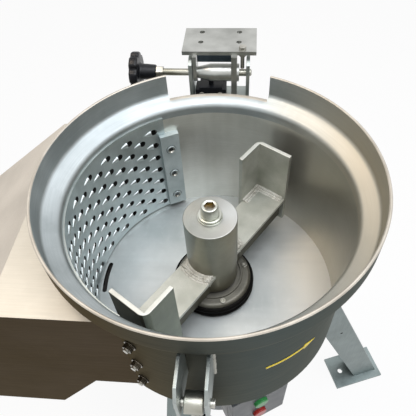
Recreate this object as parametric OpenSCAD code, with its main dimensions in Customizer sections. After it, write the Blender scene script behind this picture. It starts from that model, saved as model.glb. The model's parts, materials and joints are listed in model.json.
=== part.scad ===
// Fruit rasp mill: an open drum on three splayed legs, with a paddle rotor on a vertical
// motor shaft, a toothed grater plate in the drum wall and a discharge chute behind it.
// Origin on the rotor axis at ground level, +Z up, millimetres. The rear hinge is at +Y,
// the chute at -X. Depths named "drop" are measured down from the rim's top edge.

/* [Drum] */
// Height of the rim's top edge above the ground
rim_z = 760; // [700:5:900]
// Step from the drum wall out to the rim wall
rim_step = 18; // [15:0.5:24]
// Height of the rim's straight wall
rim_h = 27; // [24:1:32]
// Height of the sloping shoulder between rim and drum
shoulder_h = 12; // [9:1:14]
// Inside radius of the drum
drum_r = 154; // [152:1:158]
// Sheet thickness of rim and drum wall
sheet_t = 3; // [2:0.5:4]
// Depth from the rim's top edge to the drum floor
drum_drop = 210; // [204:1:240]
// Thickness of the drum floor
floor_t = 6; // [5:1:10]
// Half angle of the rear notch in the rim
notch_half = 21.5; // [20:0.5:26]
// Depth of the rear notch
notch_drop = 32; // [30:1:36]
// Bend radius where the rim wall turns into the shoulder
rim_bend = 7; // [4:1:10]
// Bend radius where the shoulder turns into the drum wall
drum_bend = 8; // [5:1:12]
// Distance from the drum wall to the drain slot's middle line
slot_in = 8; // [7:0.5:14]
// Width of the drain slot
slot_w = 6; // [4:1:8]
// Angle that the drain slot spans
slot_span = 16; // [8:1:24]

/* [Grater] */
// Thickness of the grater plate
grater_t = 2; // [1.5:0.5:3]
// Depth of the grater plate's top edge
grater_drop = 46; // [44:1:52]
// Gap between the grater plate and the floor
grater_lift = 2; // [1:0.5:6]
// Diameter of each punched hole
hole_d = 7; // [5:0.5:8]
// Height of a tooth above the plate
tooth_h = 4.2; // [3:0.2:5]
// Length of a tooth from its mouth to its tail
tooth_l = 14; // [10:1:16]
// Distance between neighbouring columns of teeth, along the plate
column_pitch = 17.7; // [17:0.1:21]
// Distance between the teeth in one column
row_pitch = 22.3; // [18:0.1:28]
// Depth of the first tooth in a long column
row_drop = 63; // [58:1:70]
// Gap between the rear clamp strip and the first column of holes
column_lead = 3; // [2:1:8]

/* [Clamp strips] */
// Angle from the chute's middle line to each clamp strip
strip_half = 64.6; // [63:0.1:65.5]
// Width of a clamp strip
strip_w = 25; // [22:1:28]
// Thickness of a clamp strip over the grater plate
strip_t = 6; // [4:0.5:7]
// Depth of a clamp strip's top end
strip_drop = 71; // [66:1:80]
// Length of a clamp strip
strip_l = 132; // [110:1:134]
// Width of the grater's edge that lies under a strip
strip_grip = 8; // [6:0.5:9]
// Thread diameter of the strip screws
strip_screw_d = 6; // [4:1:6]
// Depth of the first strip screw
strip_screw_drop = 95; // [86:1:100]
// Distance between the strip screws
strip_screw_pitch = 44.5; // [30:0.5:48]
// Number of screws in each strip
strip_screws_n = 3; // [2:1:3]

/* [Rotor] */
// Direction of the rotor arms in the drawn position
rotor_az = 56; // [0:1:180]
// Radius of the rotor hub
hub_r = 30.6; // [28:0.1:34]
// Depth of the hub's top face
hub_drop = 71.5; // [66:0.5:90]
// Gap between the hub and the drum floor
hub_lift = 26; // [25:0.5:32]
// Thickness of the hub's top wall over the shaft end
hub_cap = 14; // [10:1:18]
// Width of a rotor arm
arm_w = 44; // [36:1:48]
// Depth of an arm's flanges
arm_h = 36; // [24:1:36]
// Overhang of an arm's top plate beyond its flanges
arm_lip = 6; // [0:0.5:8]
// Plate thickness of arms and paddles
arm_t = 5; // [4:0.5:6]
// Depth of an arm's top face
arm_drop = 147; // [110:1:147]
// Gap between a passing paddle and the clamp strips
paddle_gap = 10; // [6:0.5:20]
// Length of a paddle's leading flange
paddle_l = 42; // [34:1:50]
// Depth of a paddle's top edge
paddle_drop = 70; // [62:1:90]
// Gap between a paddle and the drum floor
paddle_lift = 22; // [8:1:40]
// Outer bend radius of a paddle
paddle_bend = 9; // [7:1:12]
// Thread diameter of the central screw
hub_screw_d = 12; // [10:1:12]

/* [Shaft seal] */
// Outer radius of the rubber ring on the floor
seal_r = 52; // [50:1:58]
// Height of the rubber ring
seal_h = 13; // [10:1:13]
// Radius of the metal seal cover
cover_r = 48; // [46:1:49]
// Thickness of the metal seal cover
cover_t = 8.5; // [6:0.5:8.5]
// Radius of the raised lip on the cover
lip_r = 36; // [35:0.5:37]

/* [Motor] */
// Radius of the motor flange
flange_r = 100; // [96:1:105]
// Thickness of the motor flange
flange_t = 14; // [12:1:18]
// Diameter of the circle through the motor studs
stud_pcd = 165; // [160:1:170]
// Thread diameter of the motor studs
stud_d = 10; // [8:1:10]
// Outer radius of the motor frame without its fins
frame_r = 70; // [68:1:73]
// Height of the cooling fins
fin_h = 10; // [6:1:10]
// Thickness of a cooling fin
fin_t = 3; // [2:0.5:4]
// Number of cooling fins
fins = 30; // [20:1:34]
// Length of the motor frame
frame_l = 180; // [170:5:220]
// Distance from each end of the motor frame to its windings
stator_in = 20; // [16:1:30]
// Distance from each end of the motor frame to its rotor core
core_in = 25; // [20:1:35]
// Gap between the windings and the rotor core
air_gap = 0.6; // [0.4:0.1:1]
// Radius of the shaft inside the hub
shaft_r = 14; // [12:0.5:14]
// Length of the fan cowl
cowl_l = 68; // [66:1:90]
// Wall thickness of the fan cowl
cowl_t = 2; // [1.5:0.5:3]
// Inner radius of the first ring of air slots
air_slot_r = 24; // [18:1:26]
// Width of an air slot
air_slot_w = 7; // [4:0.5:8]
// Distance between the rings of air slots
air_slot_pitch = 12; // [10:0.5:13]
// Direction of the switch box on the motor
box_az = -60; // [-70:1:-50]
// Width of the switch box
box_w = 84; // [80:1:96]
// Height of the switch box
box_h = 110; // [100:1:130]
// Depth of the switch box beyond the cooling fins
box_d = 40; // [30:1:50]
// Radius of a push button
button_r = 10; // [8:0.5:12]

/* [Chute] */
// Margin of the chute's side walls beyond the grater's window
chute_lap = 1.1; // [0:0.1:2]
// Depth of the chute's flat top
chute_drop = 58.5; // [57:0.5:64]
// Distance from the drum to the fold in the top
chute_flat = 43; // [34:1:60]
// Slope of the chute's top beyond the fold
chute_slope = 38.3; // [30:0.1:40]
// Distance from the fold to the chute's end wall
chute_run = 180; // [150:1:200]
// Depth of the chute's open lower edge
chute_mouth = 300; // [270:1:340]
// Distance from the drum's outside in to the chute's back plate
chute_in = 24; // [22:1:30]
// Distance that the back plate leads outwards down to its lower edge
chute_lead = 62; // [50:1:80]
// Sheet thickness of the chute
chute_t = 2.5; // [1.5:0.5:3]

/* [Legs] */
// Direction of the right leg
leg_az = 20; // [14:1:24]
// Depth of the leg channel across its open side
leg_d = 49.5; // [44:0.5:54]
// Width of the leg channel
leg_w = 40; // [30:1:42]
// Sheet thickness of the legs
leg_t = 3; // [2:0.5:4]
// Splay of the legs from the vertical
leg_splay = 22.5; // [18:0.5:25]
// Distance from the drum's outside in to a leg's middle line
leg_in = 38.8; // [34:0.2:42]
// Thickness of a foot plate
foot_t = 6; // [4:1:10]
// Length of a foot plate, outwards
foot_l = 110; // [104:1:140]
// Width of a foot plate
foot_w = 70; // [50:1:90]
// Diameter of the hole in each foot plate
foot_hole_d = 11; // [8:0.5:14]
// Distance from a leg's middle line to its foot hole, inwards
foot_hole_in = 52; // [48:1:56]
// Diameter of the small hole in the side of a leg
leg_hole_d = 5; // [3:0.5:8]
// Depth of the small hole in the side of a leg
leg_hole_drop = 471; // [400:1:520]
// Distance from a leg's middle line out to its small hole
leg_hole_out = 3.5; // [0:0.5:8]

/* [Rear hinge] */
// Gap between the rim and the hinge axis
hinge_gap = 21; // [21:0.5:26]
// Depth of the hinge axis
hinge_drop = 18.4; // [18:0.2:20]
// Half of the outside width over the hinge cheeks
cheek_half = 38.5; // [36:0.5:42]
// Thickness of a hinge cheek
cheek_t = 4.5; // [3:0.5:5]
// Radius of the cheek's head round the hinge axis
cheek_r = 23; // [20:0.5:25]
// Diameter of the hinge pin
pin_d = 9; // [8:0.5:10]
// Outer radius of the sleeve on the hinge pin
sleeve_r = 11; // [9:0.5:12]
// Rise of the swing plate above the hinge axis
plate_rise = 28; // [27:0.5:32]
// Width of the swing plate
plate_w = 92; // [84:1:100]
// Depth of the swing plate, front to back
plate_d = 56; // [50:1:70]
// Thickness of the swing plate
plate_t = 5; // [4:0.5:6]
// Spacing of the swing plate's holes across the hinge
plate_hole_dx = 48; // [44:1:50]
// Spacing of the swing plate's holes front to back
plate_hole_dy = 24; // [20:1:26]
// Diameter of the swing plate's holes
plate_hole_d = 6.6; // [5.5:0.1:7]
// Distance from the hinge axis back to the middle of the plate's holes
plate_hole_y = 28; // [26:1:30]
// Outside diameter of the hand knobs
knob_d = 50; // [40:1:52]
// Length of pin between the cheek and the knob's lock nut
pin_free = 34.5; // [30:0.5:60]

/* [Front latch] */
// Overall width over the latch ears
ear_w = 28; // [24:0.5:32]
// Thickness of a latch ear
ear_t = 3; // [2.5:0.5:3.5]
// Depth of the ears' top edge
ear_drop = 40; // [38:1:46]
// Gap between the rim and the latch pivot
latch_gap = 18; // [17:0.5:24]
// Depth of the latch pivot
latch_drop = 85; // [80:1:95]
// Diameter of the latch pivot pin
latch_pin_d = 8; // [6:0.5:8]
// Diameter of the swing bolt
bolt_d = 10; // [8:0.5:10]
// Distance from the latch pivot to the swing bolt's end
bolt_l = 135; // [132:1:150]

/* [Clearances] */
// Radial clearance of a shaft or pin that turns or slides in its hole
run_clear = 0.05; // [0.02:0.01:0.1]
// Gap between faces that move past each other
gap_clear = 1; // [0.5:0.1:1.5]
// Radial clearance of a screw in its hole
screw_clear = 0.3; // [0.2:0.05:0.5]

/* [Hidden] */
$fn = 96;
eps = 0.01;
cut = 1;

// Colours
steel = "#c3c8c9";
turned = "#cfd2d0";
dark_steel = "#8d9294";
zinc = "#d8dadb";
black = "#1d1d1f";
motor_grey = "#75797c";

// Heights and radii worked out from the driving dimensions
rim_in = drum_r + rim_step;
rim_r = rim_in + sheet_t;
drum_out = drum_r + sheet_t;
shoulder_a = atan2(shoulder_h, rim_in - drum_r);
shoulder_k = (1 - sin(shoulder_a)) / cos(shoulder_a);
collar_drop = rim_h + shoulder_h + drum_bend + 3;
floor_z = rim_z - drum_drop;
base_z = floor_z - floor_t;
floor_bore_r = shaft_r + 6;
slot_r = drum_r - slot_in;
slot_end_r = slot_w / 2 - 0.05;

grater_r = drum_r - grater_t;
strip_edge_a = asin(strip_w / 2 / drum_r);
grater_half = strip_half - strip_edge_a + strip_grip / drum_r * 180 / PI;
window_half = strip_half - strip_edge_a;
window_margin = 9;
column_a = column_pitch / grater_r * 180 / PI;
grater_flat_r = grater_r * cos(column_a / 2);
strip_face_r = grater_flat_r - strip_t;
hole_a = hole_d / 2 / grater_r * 180 / PI;
tooth_a = tooth_l / grater_r * 180 / PI;
column_first = 180 - window_half + hole_a + column_lead / grater_r * 180 / PI;
columns = floor((180 + window_half - tooth_a - column_first) / column_a) + 1;
seam_first = column_first - hole_a - column_lead / 4 / grater_r * 180 / PI;
seam_last = seam_first + columns * column_a;
long_rows = floor((drum_drop - row_drop - hole_d - grater_lift) / row_pitch) + 1;

screw_head_r = strip_screw_d * 0.95;
screw_head_h = screw_head_r - strip_screw_d / 2;
strip_nut_h = strip_screw_d * 0.8;
strip_nut_r = strip_screw_d * 0.92;
strip_washer_r = strip_screw_d * 1.15;
strip_washer_t = 1;
strip_hole_r = strip_screw_d / 2 + screw_clear;

hub_z = rim_z - hub_drop;
hub_base_z = floor_z + hub_lift;
shaft_top_z = hub_z - hub_cap;
arm_z = rim_z - arm_drop;
paddle_z = rim_z - paddle_drop;
paddle_base_z = floor_z + paddle_lift;
paddle_reach = sqrt(pow(strip_face_r - paddle_gap, 2) - pow(arm_w / 2, 2));
washer_t = 2.5;
spring_t = 3;
head_r = hub_screw_d * 0.79;
key_w = 8;
key_h = 7;
key_l = 50;
key_in = 4;

seal_z = floor_z + seal_h;
cover_z = seal_z + cover_t;
lip_seal_r = shaft_r + 7;
seal_foot_r = seal_r - 11;
seal_screw_ring = (lip_r + cover_r) / 2;

bearing_r = 31;
bearing_w = 16;
race_r = shaft_r + 1;
bearing_z = base_z - flange_t - 20;
frame_z = bearing_z - frame_l;
low_race_r = shaft_r - 1.5;
low_bearing_r = 26;
low_bearing_w = 12;
shield_t = 16;
fan_z = frame_z - shield_t - 34;
fan_h = 28;
cowl_r = frame_r + fin_h;
cowl_z = frame_z - cowl_l;
core_r = frame_r - 30;
bore_r = frame_r - 8;
box_z = frame_z + frame_l / 2 - box_h / 2;
box_face = cowl_r + box_d;
lid_t = 14;
button_depth = 12;
button_out = 5;
button_gap = 42;

chute_half = drum_out * sin(window_half) + chute_lap;
chute_fold = drum_out + chute_flat;
chute_reach = chute_fold + chute_run;
chute_back = drum_out - chute_in;
chute_z = rim_z - chute_drop;
chute_back_t = chute_t * sqrt(1 + pow(chute_lead / (base_z - rim_z + chute_mouth), 2));
chute_tip_z = chute_z - (chute_reach - chute_fold) * tan(chute_slope);
chute_mouth_z = rim_z - chute_mouth;

leg_top_r = drum_out - leg_in;
leg_flat = leg_d / cos(leg_splay);
foot_r = leg_top_r + (base_z - foot_t) * tan(leg_splay);
foot_hole_r = foot_r - foot_hole_in;
foot_outer = leg_flat / 2 + 8;

hinge_y = rim_r + hinge_gap;
hinge_z = rim_z - hinge_drop;
cheek_in = cheek_half - cheek_t;
cheek_front = rim_r + 7;
cheek_drop = 115;
bridge_drop = 52;
bridge_t = 4;
lug_t = 7;
lug_x = 15.3;
left_lug_t = 4.5;
sleeve_end = 25;
cone_x = -11.5;
plate_z = hinge_z + plate_rise;
plate_y = hinge_y - 6;
lug_tail = 30;
stop_x = 29;
stop_d = 5;
stop_l = 26;
knob_hub_r = 9;
knob_hub_l = 21;
knob_t = 11;
nut_l = 9;
pin_left = -cheek_half - pin_free;

switch_w = 40;
switch_x = -11.5;
switch_d = 20;
switch_z = rim_z - bridge_drop;
switch_h = 17;
plunger_r = 3;
plunger_deep = 11;
plunger_gap = 0.6;

latch_y = -(rim_r + latch_gap);
latch_z = rim_z - latch_drop;
ear_in = ear_w / 2 - ear_t;
eye_r = 10;
hand_knob_l = 30;

// A ring or a sector of one, between two radii, two heights and two angles
module sector(r0, r1, z0, z1, a0 = 0, a1 = 360)
    rotate([0, 0, a0])
        rotate_extrude(angle = a1 - a0)
            translate([r0, z0]) square([r1 - r0, z1 - z0]);

// An upright cylinder between two heights
module post(r, z0, z1) translate([0, 0, z0]) cylinder(r = r, h = z1 - z0);

// A cylinder along X between two places
module rod_x(r, x0, x1) translate([x0, 0, 0]) rotate([0, 90, 0]) cylinder(r = r, h = x1 - x0);

// A hexagon nut blank by its corner radius
module hexagon(r, z0, z1) translate([0, 0, z0]) cylinder(r = r, h = z1 - z0, $fn = 6);

// Points along an arc in a plane
function arc(c, r, a0, a1, n = 8) =
    [for (i = [0:n]) let (a = a0 + (a1 - a0) * i / n) c + r * [cos(a), sin(a)]];

// Drum

// Spun rim: straight wall, sloping shoulder and a short collar, with the rear notch
module rim_ring() {
    high = [rim_in - rim_bend, -rim_h + rim_bend * shoulder_k];
    low = [drum_r + drum_bend, -rim_h - shoulder_h - drum_bend * shoulder_k];
    color(steel)
        translate([0, 0, rim_z])
            difference() {
                rotate_extrude()
                    polygon(concat(
                        [[rim_in, 0]],
                        arc(high, rim_bend, 0, shoulder_a - 90),
                        arc(low, drum_bend, 90 + shoulder_a, 180),
                        [[drum_r, -collar_drop], [drum_out, -collar_drop]],
                        arc(low, drum_bend - sheet_t, 180, 90 + shoulder_a),
                        arc(high, rim_bend + sheet_t, shoulder_a - 90, 0),
                        [[rim_r, 0]]));
                sector(drum_r - cut, rim_r + cut, -notch_drop, cut, 90 - notch_half, 90 + notch_half);
            }
}

// The places of the screws that clamp the grater, with X pointing outwards
module at_strip_screws()
    for (side = [-1, 1], i = [0:strip_screws_n - 1])
        rotate([0, 0, 180 + side * strip_half])
            translate([0, 0, rim_z - strip_screw_drop - i * strip_screw_pitch])
                rotate([0, 90, 0]) children();

module drum_shell()
    color(steel)
        difference() {
            sector(drum_r, drum_out, base_z, rim_z - collar_drop);
            sector(drum_r - cut, drum_out + cut, floor_z + window_margin,
                   rim_z - collar_drop - window_margin, 180 - window_half, 180 + window_half);
            at_strip_screws() cylinder(r = strip_hole_r, h = drum_out + cut);
        }

module drum_floor()
    color(turned)
        difference() {
            sector(floor_bore_r, drum_r, base_z, floor_z);
            sector(slot_r - slot_w / 2, slot_r + slot_w / 2, base_z - cut, floor_z + cut,
                   180 - slot_span / 2, 180 + slot_span / 2);
            for (side = [-1, 1])
                rotate([0, 0, 180 + side * slot_span / 2])
                    translate([slot_r, 0, 0]) post(slot_end_r, base_z - cut, floor_z + cut);
        }

// Grater

// Every tooth's place, with X outwards and Y along the rotor's direction of travel
module at_teeth()
    for (c = [0:columns - 1], k = [0:long_rows - 1 - c % 2])
        rotate([0, 0, column_first + c * column_a])
            translate([grater_r, 0, rim_z - row_drop - (k + (c % 2) / 2) * row_pitch])
                children();

// A half teardrop pressed inwards, with its mouth at Y = 0
module tooth()
    hull() {
        rotate([-90, 0, 0])
            linear_extrude(0.2)
                intersection() {
                    circle(r = tooth_h, $fn = 12);
                    translate([-tooth_h, -tooth_h]) square([tooth_h + grater_t / 2, 2 * tooth_h]);
                }
        translate([grater_t / 2, tooth_l, 0]) cube([grater_t / 4, 0.2, 0.6], center = true);
    }

// Plate of one flat panel to each column, bent at the seams between them
module grater_plate() {
    seams = concat(
        [180 - grater_half],
        [for (c = [0:columns]) seam_first + c * column_a],
        [(seam_last + 180 + grater_half) / 2, 180 + grater_half]);
    color(steel)
        difference() {
            union() {
                translate([0, 0, floor_z + grater_lift])
                    linear_extrude(drum_drop - grater_drop - grater_lift)
                        polygon(concat(
                            [for (a = seams) drum_r * [cos(a), sin(a)]],
                            [for (i = [len(seams) - 1:-1:0]) grater_r * [cos(seams[i]), sin(seams[i])]]));
                at_teeth() tooth();
            }
            at_teeth()
                rotate([0, 90, 0])
                    cylinder(r = hole_d / 2, h = 4 * tooth_h + 4 * grater_t, center = true, $fn = 8);
        }
}

// A flat bar whose back follows the drum wall, rebated over the grater's edge
module clamp_strip(side)
    color(turned)
        difference() {
            intersection() {
                rotate([0, 0, 180 + side * strip_half])
                    translate([strip_face_r, -strip_w / 2, rim_z - strip_drop - strip_l])
                        cube([drum_r, strip_w, strip_l]);
                post(drum_r, base_z, rim_z);
            }
            sector(grater_flat_r, drum_r + cut, base_z, rim_z,
                   180 + side * grater_half - (side > 0 ? 2 * strip_edge_a : 0),
                   180 + side * grater_half + (side < 0 ? 2 * strip_edge_a : 0));
            at_strip_screws() strip_screw_hole();
        }

module strip_screw_hole() {
    cylinder(r = strip_hole_r, h = drum_out);
    translate([0, 0, strip_face_r])
        cylinder(r1 = screw_head_r, r2 = strip_screw_d / 2, h = screw_head_h);
}

module rear_clamp_strip() clamp_strip(-1);
module front_clamp_strip() clamp_strip(1);

strip_nut_z = drum_out + strip_washer_t;

module strip_screws()
    color(zinc)
        at_strip_screws()
            difference() {
                union() {
                    translate([0, 0, strip_face_r])
                        cylinder(r1 = screw_head_r, r2 = strip_screw_d / 2, h = screw_head_h);
                    post(strip_screw_d / 2, strip_face_r + screw_head_h - eps,
                         strip_nut_z + strip_nut_h + 2);
                }
                hexagon(strip_screw_d * 0.34, strip_face_r - cut, strip_face_r + screw_head_h);
            }

module strip_washers()
    color(zinc)
        at_strip_screws()
            sector(strip_hole_r, strip_washer_r, drum_out, strip_nut_z);

module strip_nuts()
    color(zinc)
        at_strip_screws()
            difference() {
                hexagon(strip_nut_r, strip_nut_z, strip_nut_z + strip_nut_h);
                post(strip_screw_d / 2, strip_nut_z - cut, strip_nut_z + strip_nut_h + cut);
            }

// Chute

// Folded hood over the grater's window: flat top, sloping top, end, sides, corner shelf and
// sloping back plate, open below and towards the drum
module chute_hood() {
    fold_in = chute_t * tan(chute_slope / 2);
    tip_in = chute_t * tan((90 - chute_slope) / 2);
    near = -drum_r / 4;
    color(steel)
        difference() {
            union() {
                translate([0, chute_half, 0])
                    rotate([90, 0, 0])
                        linear_extrude(2 * chute_half)
                            polygon([
                                [near, chute_z], [-chute_fold, chute_z], [-chute_reach, chute_tip_z],
                                [-chute_reach, chute_mouth_z], [-chute_reach + chute_t, chute_mouth_z],
                                [-chute_reach + chute_t, chute_tip_z - tip_in],
                                [-chute_fold + fold_in, chute_z - chute_t], [near, chute_z - chute_t]]);
                for (y = [-chute_half + chute_t, chute_half])
                    translate([0, y, 0])
                        rotate([90, 0, 0])
                            linear_extrude(chute_t)
                                polygon([
                                    [near, chute_z], [-chute_fold, chute_z], [-chute_reach, chute_tip_z],
                                    [-chute_reach, chute_mouth_z],
                                    [-chute_back - chute_lead, chute_mouth_z],
                                    [-chute_back, base_z], [near, base_z]]);
                translate([0, chute_half, 0])
                    rotate([90, 0, 0])
                        linear_extrude(2 * chute_half)
                            polygon([
                                [-chute_back, base_z], [-chute_back - chute_lead, chute_mouth_z],
                                [-chute_back - chute_lead + chute_back_t, chute_mouth_z],
                                [-chute_back + chute_back_t, base_z]]);
                translate([-chute_back, -chute_half, base_z])
                    cube([chute_back + near, 2 * chute_half, chute_t]);
            }
            post(drum_out, base_z - eps, rim_z);
        }
}

// Legs

// A splayed channel with its open side inwards
module leg(az)
    color(dark_steel)
        rotate([0, 0, az])
            difference() {
                intersection() {
                    translate([leg_top_r, 0, base_z])
                        rotate([0, 180 - leg_splay, 0])
                            translate([-leg_d / 2, -leg_w / 2, -leg_d])
                                difference() {
                                    cube([leg_d, leg_w, rim_z * 2]);
                                    translate([leg_t, leg_t, -cut])
                                        cube([leg_d, leg_w - 2 * leg_t, rim_z * 2 + 2 * cut]);
                                }
                    translate([0, -leg_w, foot_t])
                        cube([2 * foot_r, 2 * leg_w, base_z - foot_t]);
                }
                translate([leg_top_r + (leg_hole_drop - drum_drop - floor_t) * tan(leg_splay) + leg_hole_out,
                           -leg_w, rim_z - leg_hole_drop])
                    rotate([-90, 0, 0]) cylinder(r = leg_hole_d / 2, h = leg_w);
                post(flange_r + 3 * gap_clear, stud_end_z - gap_clear, base_z + cut);
            }

module right_leg() leg(leg_az);
module rear_leg() leg(leg_az + 120);
module front_leg() leg(leg_az + 240);

module foot_plates()
    color(dark_steel)
        for (turn = [0:120:240])
            rotate([0, 0, leg_az + turn])
                difference() {
                    translate([foot_r + foot_outer - foot_l, -foot_w / 2, 0]) cube([foot_l, foot_w, foot_t]);
                    translate([foot_hole_r, 0, 0]) post(foot_hole_d / 2, -cut, foot_t + cut);
                }

// Shaft seal

module seal_ring()
    color(black)
        rotate_extrude()
            polygon(concat(
                [[seal_foot_r, floor_z]],
                arc([seal_r - 2, floor_z + 2], 2, -90, 0, 4),
                arc([seal_r - 4, seal_z - 4], 4, 0, 90, 4),
                [[seal_foot_r, seal_z]]));

module at_seal_screws()
    for (a = [20:90:290]) rotate([0, 0, a]) translate([seal_screw_ring, 0, 0]) children();

module seal_cover()
    color(turned)
        difference() {
            rotate_extrude()
                polygon(concat(
                    [[lip_seal_r, floor_z], [seal_foot_r, floor_z], [seal_foot_r, seal_z], [cover_r, seal_z]],
                    arc([cover_r - 5, cover_z - 5], 5, 0, 90, 5),
                    [[lip_r + 1.5, cover_z], [lip_r + 1, cover_z + 2], [lip_r - 1, cover_z + 2],
                     [lip_r - 1.5, cover_z], [lip_seal_r, cover_z]]));
            at_seal_screws() post(2.2, cover_z - 5, cover_z + cut);
        }

module seal_screws()
    color(zinc)
        at_seal_screws()
            difference() {
                union() {
                    post(2, cover_z - 5, cover_z);
                    post(3.5, cover_z, cover_z + 1.8);
                }
                hexagon(1.5, cover_z + 0.6, cover_z + 3);
            }

module shaft_seal()
    color(black)
        sector(shaft_r + run_clear, lip_seal_r, floor_z + 3, cover_z - 1);

// Motor

module at_studs() for (a = [45:90:315]) rotate([0, 0, a]) translate([stud_pcd / 2, 0, 0]) children();

stud_end_z = base_z - flange_t - stud_d * 1.3;
stud_washer_t = 2;

module motor_studs() color(zinc) at_studs() post(stud_d / 2, stud_end_z, base_z);

module motor_washers()
    color(zinc)
        at_studs()
            sector(stud_d / 2 + screw_clear, stud_d, base_z - flange_t - stud_washer_t, base_z - flange_t);

module motor_nuts()
    color(zinc)
        at_studs()
            difference() {
                hexagon(stud_d * 0.95, base_z - flange_t - stud_d, base_z - flange_t - stud_washer_t);
                post(stud_d / 2, base_z - flange_t - stud_d - cut, base_z);
            }

module motor_flange()
    color(motor_grey)
        difference() {
            union() {
                post(flange_r, base_z - flange_t, base_z);
                post(frame_r, bearing_z, base_z - flange_t);
            }
            post(floor_bore_r, bearing_z - cut, base_z + cut);
            post(bearing_r, bearing_z - cut, bearing_z + bearing_w);
            at_studs() post(stud_d / 2 + screw_clear, base_z - flange_t - cut, base_z + cut);
        }

module motor_frame()
    color(motor_grey)
        union() {
            sector(bore_r, frame_r, frame_z, bearing_z);
            for (i = [0:fins - 1])
                rotate([0, 0, i * 360 / fins])
                    translate([frame_r - 1, -fin_t / 2, frame_z]) cube([fin_h + 1, fin_t, frame_l]);
        }

module motor_stator()
    color("#8a5a2b") sector(core_r + air_gap, bore_r, frame_z + stator_in, bearing_z - stator_in);

module motor_end_shield()
    color(motor_grey)
        difference() {
            post(cowl_r - cowl_t, frame_z - shield_t, frame_z);
            post(low_bearing_r, frame_z - low_bearing_w, frame_z + cut);
            post(low_race_r + 2, frame_z - shield_t - cut, frame_z);
        }

module upper_bearing() color(zinc) sector(race_r + run_clear, bearing_r, bearing_z, bearing_z + bearing_w);

module lower_bearing()
    color(zinc) sector(low_race_r + run_clear, low_bearing_r, frame_z - low_bearing_w, frame_z);

// Round cup over the fan, with ring slots in its bottom
module fan_cowl()
    color(motor_grey)
        difference() {
            post(cowl_r, cowl_z, frame_z);
            post(cowl_r - cowl_t, cowl_z + cowl_t, frame_z + cut);
            for (r = [air_slot_r:air_slot_pitch:cowl_r - air_slot_pitch], a = [5:60:305])
                sector(r, r + air_slot_w, cowl_z - cut, cowl_z + cowl_t + cut, a, a + 50);
        }

// Box on the motor's side, its back shaped to the fins
module terminal_box()
    color(black)
        difference() {
            rotate([0, 0, box_az])
                translate([frame_r, -box_w / 2, box_z]) cube([box_face - frame_r, box_w, box_h]);
            post(cowl_r, frame_z - cut, bearing_z + cut);
        }

module at_buttons()
    for (side = [-1, 1])
        rotate([0, 0, box_az])
            translate([box_face + lid_t, 0, box_z + box_h / 2 + side * button_gap / 2])
                rotate([0, 90, 0]) children();

module switch_cover()
    color("#4a4d50")
        difference() {
            rotate([0, 0, box_az])
                translate([box_face, -box_w / 2, box_z]) cube([lid_t, box_w, box_h]);
            at_buttons() post(button_r + run_clear, -button_depth, cut);
        }

module button(side)
    rotate([0, 0, box_az])
        translate([box_face + lid_t, 0, box_z + box_h / 2 + side * button_gap / 2])
            rotate([0, 90, 0]) post(button_r, button_out - button_depth, button_out);

module start_button() color("#2f8f46") button(1);
module stop_button() color("#b3261e") button(-1);

module cable_gland()
    color(black)
        rotate([0, 0, box_az])
            translate([(cowl_r + box_face) / 2, 0, 0])
                difference() {
                    union() {
                        hexagon(13, box_z - 6, box_z);
                        post(10, box_z - 18, box_z - 6);
                        post(8, box_z - 22, box_z - 18);
                    }
                    post(4.5, box_z - 23, box_z - 8);
                }

// Rotor

module motor_shaft()
    color(dark_steel)
        difference() {
            union() {
                post(shaft_r, bearing_z + bearing_w + 1, shaft_top_z);
                post(race_r, frame_z + 1, bearing_z + bearing_w + 1);
                post(low_race_r, fan_z - 2, frame_z + 1);
            }
            post(hub_screw_d / 2, shaft_top_z - 30, shaft_top_z + cut);
            translate([shaft_r - key_in, -key_w / 2, shaft_top_z - key_l - 8]) cube([key_h, key_w, key_l]);
        }

module motor_core()
    color("#9a9da0") sector(race_r, core_r, frame_z + core_in, bearing_z - core_in);

// Radial fan on the shaft's lower end
module cooling_fan()
    color(black)
        union() {
            sector(low_race_r, low_race_r + 8, fan_z, fan_z + fan_h);
            sector(low_race_r + 8, cowl_r - 8, fan_z + fan_h - 3, fan_z + fan_h);
            for (a = [0:45:315])
                rotate([0, 0, a])
                    translate([low_race_r + 6, -1.2, fan_z]) cube([cowl_r - low_race_r - 15, 2.4, fan_h]);
        }

module shaft_key()
    color(zinc)
        translate([shaft_r - key_in, -key_w / 2, shaft_top_z - key_l - 8]) cube([key_h, key_w, key_l]);

module rotor_hub()
    color(turned)
        difference() {
            post(hub_r, hub_base_z, hub_z);
            post(shaft_r, hub_base_z - cut, shaft_top_z);
            post(hub_screw_d / 2 + screw_clear, shaft_top_z - cut, hub_z + cut);
            translate([0, -key_w / 2, hub_base_z - cut])
                cube([shaft_r - key_in + key_h, key_w, shaft_top_z - hub_base_z + cut]);
        }

// The space of one of the two arms, with X along it and Y on its leading side
module at_arm(i) rotate([0, 0, rotor_az + i * 180]) children();

// Top plate on two inset flanges, from the hub to the paddle
module rotor_arm(i)
    color(turned)
        difference() {
            at_arm(i)
                union() {
                    translate([0, -arm_w / 2, arm_z - arm_t]) cube([paddle_reach - arm_t, arm_w, arm_t]);
                    for (y = [-arm_w / 2 + arm_lip, arm_w / 2 - arm_lip - arm_t])
                        translate([0, y, arm_z - arm_h])
                            cube([paddle_reach - arm_t, arm_t, arm_h - arm_t + eps]);
                }
            post(hub_r, hub_base_z - arm_h, hub_z);
        }

module rotor_arm_1() rotor_arm(0);
module rotor_arm_2() rotor_arm(1);

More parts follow.
